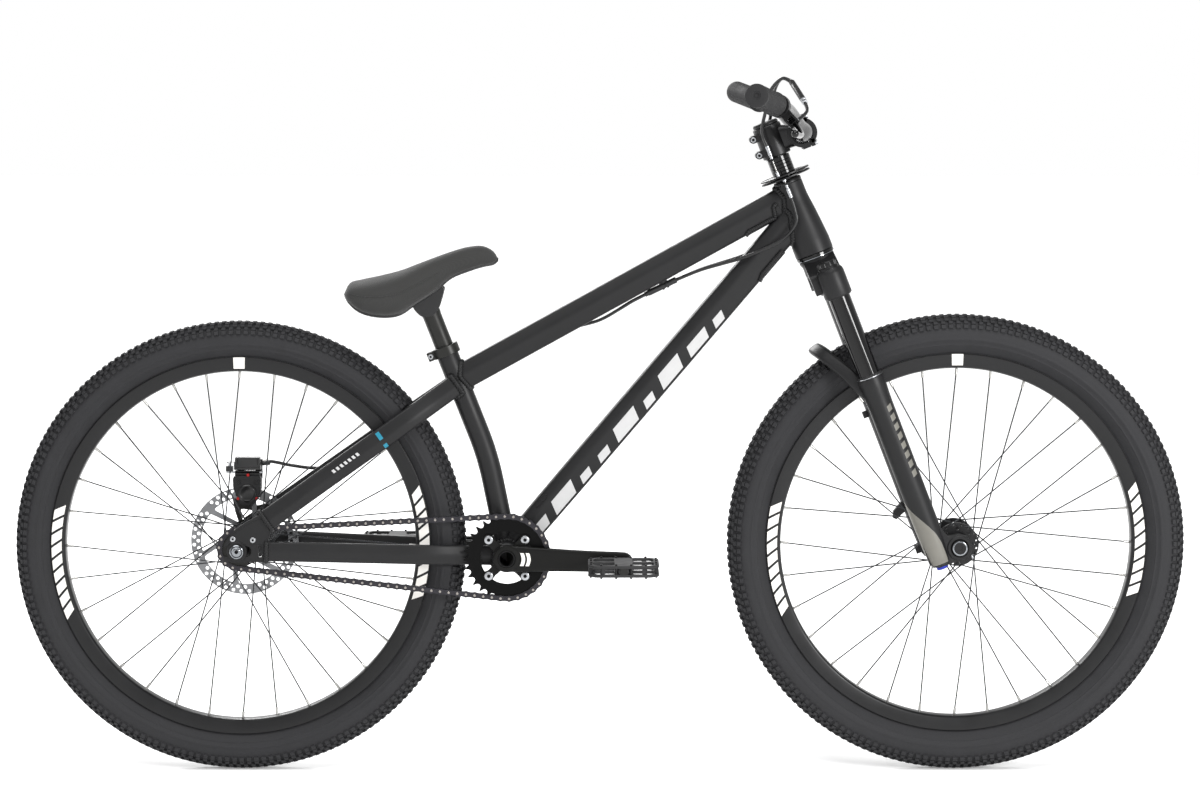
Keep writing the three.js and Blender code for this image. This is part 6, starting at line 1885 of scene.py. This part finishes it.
def build_lever():
    out, down, axis = lever_axes()
    pivot = joint_place("brake_pull")
    origin = pivot - out * 7.5 - down * 34
    place = axes(origin, out, down, axis)
    perch = bmesh.new()
    ring = axes(origin, down, axis, out)
    hoop(perch, mirrored([(11.3, -7.5), (16, -7.5), (16.6, -6.9)]), ring, 44)
    block(perch, (-7.2, 12, -7.6), (7.2, 24.5, 7.6), place)
    for low, high in ((-7.7, -4.8), (4.8, 7.7)):
        block(perch, (-5, 22, low), (13, 39.6, high), place)
    block(perch, (-9.5, 21, -4.6), (-4, 35, 4.6), place)
    for low, high in ((-6, -1.2), (1.2, 6)):
        block(perch, (-6.6, -22, low), (6.6, -14, high), place)
    piece("lever_perch", perch, "anodised", "steering", "anodised_black", ["brake_lever_clamp"], bevel=0.8)
    parts = bmesh.new()
    socket_bolt(parts, place @ Vector((0, -18, 6)), axis, 3.0, 2.2)
    barrel = [(4.5, 0)]
    for k in range(6):
        barrel += [(4.5, 0.4 + 1.7 * k), (4.5, 1.3 + 1.7 * k), (4.0, 1.5 + 1.7 * k), (4.0, 1.9 + 1.7 * k)]
    barrel += [(4.4, 11), (3.4, 12), (3.4, 14.8)]
    lathe(parts, barrel, along(place @ Vector((-7.6, 28, 0)), -out), 24)
    piece("lever_adjuster", parts, "zinc", "steering", "bright_steel")

    blade = bmesh.new()
    shares = [(0, 0), (0.1, 0.3), (0.3, 0.72), (0.6, 0.97), (1, 1)]
    path = curve_through([place @ Vector((7.5 + 122 * s, 34 + 34 * d, 0)) for s, d in shares], 3)
    sweep(blade, path, soft_box(9, 7.2, 2.6, 24), axis,
          lambda s: (1 - 0.12 * math.sin(math.pi * s), 1 - 0.2 * math.sin(math.pi * s)))
    tip = path[-1]
    lathe(blade, [(0.8, -5.3), (3.4, -4.2), (5, -2), (5.4, 0), (5, 2), (3.4, 4.2), (0.8, 5.3)],
          along(tip, axis), 28)
    hoop(blade, mirrored([(2.2, -4.6), (5.6, -4.6), (6, -4.2)]), along(pivot, axis), 28)
    piece("lever_blade", blade, "fork_tube", "brake_lever", "anodised_black", ["brake_lever_blade"])
    pin = bmesh.new()
    rod(pin, pivot - axis * 8.4, pivot + axis * 8.4, 2.1, 20, 0.5)
    piece("lever_pin", pin, "zinc", "steering", "bright_steel")


class BIKE_OT_cables(bpy.types.Operator):
    """Lay the brake cables, with their adjusters, junction barrels and clips"""

    bl_idname = "bike.cables"
    bl_label = "Cables"

    def execute(self, context):
        radius = context.scene.bike_cockpit.cable_diameter / MM / 2

        def lay(mesh, points):
            sweep(mesh, curve_through(points, 5), circle(radius, 16), carried=True)

        def port(ahead, side, up):
            return on_steering(ahead, side * PORT_APART, up)

        def adjuster(mesh, low, high):
            ahead, length = (high - low).normalized(), (high - low).length
            profile, at = [(2.4, 0), (3.2, 0.4)], 0.4
            while at < length * 0.55:
                profile += [(3.2, at + 1.0), (2.8, at + 1.15), (2.8, at + 1.5), (3.2, at + 1.65)]
                at += 1.65
            profile += [(3.1, length * 0.7), (2.2, length * 0.74), (2.2, length - 0.3), (1.6, length)]
            lathe(mesh, profile, along(low, ahead), 20)

        out, down, _ = lever_axes()
        perch_end = joint_place("brake_pull") - out * 29.5 - down * 6
        split_low, split_high = Vector((291.3, -150, 983.3)), Vector((274.2, -100, 1013.4))
        upper, metal, wires = bmesh.new(), bmesh.new(), bmesh.new()
        lay(upper, [perch_end + out * 4, perch_end - out * 6, (293, -163, 972), split_low,
                    split_low.lerp(split_high, 0.2)])
        run = (split_high - split_low).normalized()
        ends = {
            -1: [split_high - run * 3, (262, -89, 1018), (247, -73, 1003), (239, -57, 970)],
            1: [split_high - run * 3 + Z * 2, (263, -72, 1018), (255, -30, 1005), (251, 8, 979),
                (247, 27, 950)],
        }
        for side, points in ends.items():
            lay(upper, [*points, on_steering(UPPER_PORT, side * 33, 665), port(UPPER_PORT, side, 643)])
            adjuster(metal, port(UPPER_PORT, side, 645), port(UPPER_PORT, side, 624.7))
            rod(wires, port(UPPER_PORT, side, 628), port(UPPER_PORT, side, 602.4), 0.8, 10, 0.2)
        lathe(upper, [(2.6, 0), (4.5, 1), (4.5, 40), (4.2, 41)], along(split_low + run * 9, run), 28)
        rod(upper, split_low + run * 44, split_high - run * 1, 4.4, 28, 1)
        lathe(metal, [(2.7, 0), (4.2, 0.6), (4.2, 3), (3.4, 3.6), (3.4, 6.5), (4.3, 7), (4.3, 9.6)],
              along(split_low, run), 24)
        piece("cable_upper", upper, "cable", "steering", "cable_cover", ["upper_brake_cable"])
        piece("cable_upper_adjusters", metal, "zinc", "steering", "bright_steel")
        piece("cable_upper_wires", wires, "nipple", "steering", "bright_steel")

        lower, metal, wires = bmesh.new(), bmesh.new(), bmesh.new()
        split_front, split_rear = Vector((111.2, 0, 723.7)), Vector((65.7, 0, 701.7))
        for side in (-1, 1):
            route = [(284, 31.5, 826), (286, 33, 812), (278, 32.5, 796), (263, 31, 782.4), (234, 27, 767.7),
                     (205, 20, 756), (175, 11, 747), (146, 4, 738), (107.6, 0.5, 722)]
            lay(lower, [port(LOWER_PORT, side, 566), *(Vector((x, side * y, z)) for x, y, z in route)])
            adjuster(metal, port(LOWER_PORT, side, 562), port(LOWER_PORT, side, 582.2))
            rod(wires, port(LOWER_PORT, side, 580), port(LOWER_PORT, side, 588.8), 0.8, 10, 0.2)
        run = (split_rear - split_front).normalized()
        length = (split_rear - split_front).length
        lathe(lower, [(3, -1), (4.4, 0), (4.5, 0.6), (4.5, 14), (3.9, 14.6), (3.9, 17), (4.5, 17.6),
                      (4.5, length - 6), (3.7, length - 5), (3.7, length - 1), (2.8, length)],
                      along(split_front, run), 32)
        top_run = (top_tube_front - top_tube_rear).normalized()
        up = top_run.cross(Y)
        at = split_front.lerp(split_rear, 0.35)
        rise = (top_tube_rear - at).dot(up) - 19.5
        for place in (at + run * -3, at + run * 4):
            hoop(lower, [(4.4, -1.6), (5.6, -1.6), (5.6, 1.6), (4.4, 1.6)], along(place, run), 28)
        clip = axes(at, top_run, Y, up)
        block(lower, (-7, -3, 3.5), (6, 3, 7), clip)
        block(lower, (-4, -4.5, 6), (12, 4.5, rise + 0.6), clip)
        piece("cable_lower", lower, "cable", "frame", "cable_cover", ["lower_brake_cable"])
        piece("cable_lower_adjusters", metal, "zinc", "frame", "bright_steel")
        piece("cable_lower_wires", wires, "nipple", "frame", "bright_steel")

        rear, ends = bmesh.new(), bmesh.new()
        lay(rear, [(65.7, 0, 701.7), (47, 1.5, 692), (29.5, 6, 681), (0, 14, 664), (-30, 20, 655),
                   (-80, 20, 643),
                 (-140, 20.5, 613), (-185, 22, 587), (-215, 26.5, 567), (-244, 35, 547), (-272, 46, 527),
                 (-299.4, 54, 508), (-350, 61, 473), (-397, 67, 443), (-425, 69, 439), (-460, 68.5, 443),
                 (-489.7, 66.8, 449), (-502.2, 66.8, 449)])
        piece("cable_rear", rear, "cable", "frame", "cable_cover", ["rear_brake_cable"])
        stop = Vector((-512, 66.8, 449))
        lathe(ends, [(2.2, 0), (3.4, 0.4), (3.4, 4), (3, 4.4), (3, 13), (3.6, 13.4), (3.6, 17), (2.7, 18)],
              along(stop, X), 20)
        rod(ends, Vector((-511, 66.8, 449)), Vector((-551, 66.8, 448)), 0.8, 10, 0.2)
        rod(ends, Vector((-551, 66.8, 448)), Vector((-556, 66.8, 447.6)), 1.3, 10, 0.4)
        piece("cable_rear_ends", ends, "nipple", "frame", "bright_steel")
        return {"FINISHED"}


# Seat

class SaddleSettings(bpy.types.PropertyGroup):
    """Sizes of the saddle's details."""

    lip: bpy.props.FloatProperty(
        name="Base lip", description="Height of the base's edge below the cover", unit="LENGTH", min=0.001,
        default=4.0 * MM)
    fill: bpy.props.FloatProperty(
        name="Fill", description="How full the padding is", subtype="FACTOR", min=0, max=1, default=0.85)


SADDLE_REAR, SADDLE_FOOT, SADDLE_LENGTH, SADDLE_HALF, SADDLE_HEIGHT = -373.0, 671.1, 224.0, 72.5, 102.0
SADDLE_WAIST, SADDLE_STEP = 0.34, 5.0
SADDLE_ALONG = [0, .03, .1, .22, .36, .48, .6, .7, .8, .9, .97, 1]
SADDLE_TOP = [.34, .47, .515, .57, .65, .75, .85, .927, .988, 1, .92, .81]
SADDLE_BOTTOM = [.28, .19, .07, 0, .02, .19, .36, .54, .63, .7, .73, .78]
SADDLE_WIDTH = [.5, .78, .94, 1, .91, .69, .5, .4, .345, .3, .22, .1]


def saddle_stations():
    """(share along, top, bottom, half width) of the saddle at close, smoothly joined stations."""
    rows = list(zip(SADDLE_ALONG, SADDLE_TOP, SADDLE_BOTTOM))
    path = curve_through(
        [Vector((SADDLE_LENGTH * s, SADDLE_HEIGHT * t, SADDLE_HEIGHT * b)) for s, t, b in rows], SADDLE_STEP)
    widths = curve_through(
        [Vector((SADDLE_LENGTH * s, SADDLE_HALF * w, 0)) for s, w in zip(SADDLE_ALONG, SADDLE_WIDTH)],
        SADDLE_STEP)
    made = []
    for point in path:
        after = next((i for i, p in enumerate(widths) if p.x >= point.x), len(widths) - 1)
        a, b = widths[max(after - 1, 0)], widths[after]
        share = (point.x - a.x) / (b.x - a.x) if b.x > a.x else 0
        half = a.y + (b.y - a.y) * share
        made.append((point.x / SADDLE_LENGTH, SADDLE_FOOT + point.y, SADDLE_FOOT + point.z, half))
    return made


class BIKE_OT_seat(bpy.types.Operator):
    """Build the saddle's padded cover and base, and the seat post"""

    bl_idname = "bike.seat"
    bl_label = "Saddle and Post"

    def execute(self, context):
        settings = context.scene.bike_saddle
        lip = settings.lip / MM
        cover, base = bmesh.new(), bmesh.new()
        rings, shells = [], []
        rows = saddle_stations()

        def over(half, top, waist, angle):
            return half * math.cos(angle) ** 0.8, waist + (top - waist) * math.sin(angle) ** 0.95

        def both_sides(x, right, left):
            return [Vector((x, y, z)) for y, z in right] + [Vector((x, -y, z)) for y, z in reversed(left)]

        def closing(ring):
            middle = sum(ring, Vector()) / len(ring)
            return [[middle + (p - middle) * size for p in ring] for size in (0.82, 0.45)]

        for share, top, bottom, half in rows:
            low = bottom + lip
            waist, x = low + SADDLE_WAIST * (top - low), SADDLE_REAR + SADDLE_LENGTH * share
            side = [over(half, top, waist, math.pi / 2 * k / 12) for k in range(13)]
            under = [
                (half * (1 - 0.3 * (1 - math.cos(a))), waist - (waist - low) * math.sin(a))
                for a in (math.pi / 2 * k / 7 for k in range(7, 0, -1))
            ]
            rim = [(u * half * 0.7, low + 0.4 + 2.4 * (1 - u ** 2)) for u in (0.4, 0.72)]
            right = [*rim, *under, *side]
            rings.append(both_sides(x, right, right[:-1]))
            inner = half * 0.71
            edge = [(inner * 0.5, bottom + 2.0), (inner * 0.97, bottom + 0.3), (inner, bottom + 1.6),
                    (inner, low + 1.4), (inner * 0.5, low + 2.4)]
            shells.append(both_sides(x, edge, edge))
        loft(cover, [*closing(rings[0])[::-1], *rings, *closing(rings[-1])])
        loft(base, shells)
        pad = piece("saddle_cover", cover, "cover", "saddle", "saddle_cover", ["saddle_pad"], 60)
        # The mount's two cheeks hold the post's head between them
        cheek = rounded([
            (-26, 8), (-19, -6), (-9, -15.5), (8, -14.5), (16, -4), (21, 12), (25, 28), (0, 32), (-26, 16)],
            5, 4)
        for side in (-1, 1):
            plate(base, cheek, side * 14, side * 19.5, side_on(post_head))
        place = axes(post_head, seat_ahead, Y, seat_up)
        block(base, (-21, -19, 13.8), (15, 19, 19), place)
        piece("saddle_shell", base, "nylon", "saddle", "saddle_shell", ["saddle_base"], bevel=0.6)
        seam = bmesh.new()
        for side in (-1, 1):
            points = []
            for share, top, bottom, half in rows:
                if 0.04 < share < 0.62:
                    low = bottom + lip
                    y, z = over(half, top, low + SADDLE_WAIST * (top - low), math.radians(16 - 10 * share))
                    points.append(Vector((SADDLE_REAR + SADDLE_LENGTH * share, side * (y + 0.1), z)))
            sweep(seam, points, circle(0.7, 8), carried=True)
        piece("saddle_seams", seam, "cover", "saddle", "saddle_cover")

        post = bmesh.new()
        lathe(post, [(12.6, -169), (13.6, -168), (13.6, -16), (14.2, -12), (14.2, -4), (10, -2)], place, 56)
        head = axes(post_head, X, -Z, Y)
        profile = [(4, -13.6), (14, -13.6)]
        for k in range(9):
            at = -13 + 2.9 * k
            profile += [(14.9, at + 0.2), (14.9, at + 1.5), (14.2, at + 1.9), (14.2, at + 2.6)]
        lathe(post, [*profile, (14, 13.6), (4, 13.6)], head, 56)
        piece("post_tube", post, "forged", "post", "anodised_black", ["seat_post"], 35)
        return {"FINISHED"}


# The add-on

SETTINGS = {
    "bike_paint": PaintSettings, "bike_prints": PrintSettings, "bike_stage": StageSettings,
    "bike_wheels": WheelSettings, "bike_drive": DriveSettings, "bike_frame": FrameSettings,
    "bike_fork": ForkSettings, "bike_cockpit": CockpitSettings, "bike_saddle": SaddleSettings,
}
OPERATORS = (
    BIKE_OT_stage, BIKE_OT_finishes, BIKE_OT_wheels, BIKE_OT_chain, BIKE_OT_cranks,
    BIKE_OT_pedals, BIKE_OT_frame, BIKE_OT_frame_prints, BIKE_OT_brake, BIKE_OT_fork, BIKE_OT_headset,
    BIKE_OT_cockpit, BIKE_OT_cables, BIKE_OT_seat,
)


class BIKE_PT_panel(bpy.types.Panel):
    """The bike's sizes and colours, and a button for each group of pieces"""

    bl_idname = "BIKE_PT_panel"
    bl_label = "Dirt Jump Bike"
    bl_space_type = "VIEW_3D"
    bl_region_type = "UI"
    bl_category = "Bike"

    def draw(self, context):
        for name, group in SETTINGS.items():
            box = self.layout.box()
            for field in group.__annotations__:
                box.prop(getattr(context.scene, name), field)
        for operator in OPERATORS:
            self.layout.operator(operator.bl_idname)


def register():
    for cls in (*SETTINGS.values(), *OPERATORS, BIKE_PT_panel):
        bpy.utils.register_class(cls)
    for name, group in SETTINGS.items():
        setattr(bpy.types.Scene, name, bpy.props.PointerProperty(type=group))


def unregister():
    for name in SETTINGS:
        delattr(bpy.types.Scene, name)
    for cls in reversed((*SETTINGS.values(), *OPERATORS, BIKE_PT_panel)):
        bpy.utils.unregister_class(cls)


def main():
    register()
    for operator in OPERATORS:
        group, name = operator.bl_idname.split(".")
        getattr(getattr(bpy.ops, group), name)()


if __name__ == "__main__":
    main()
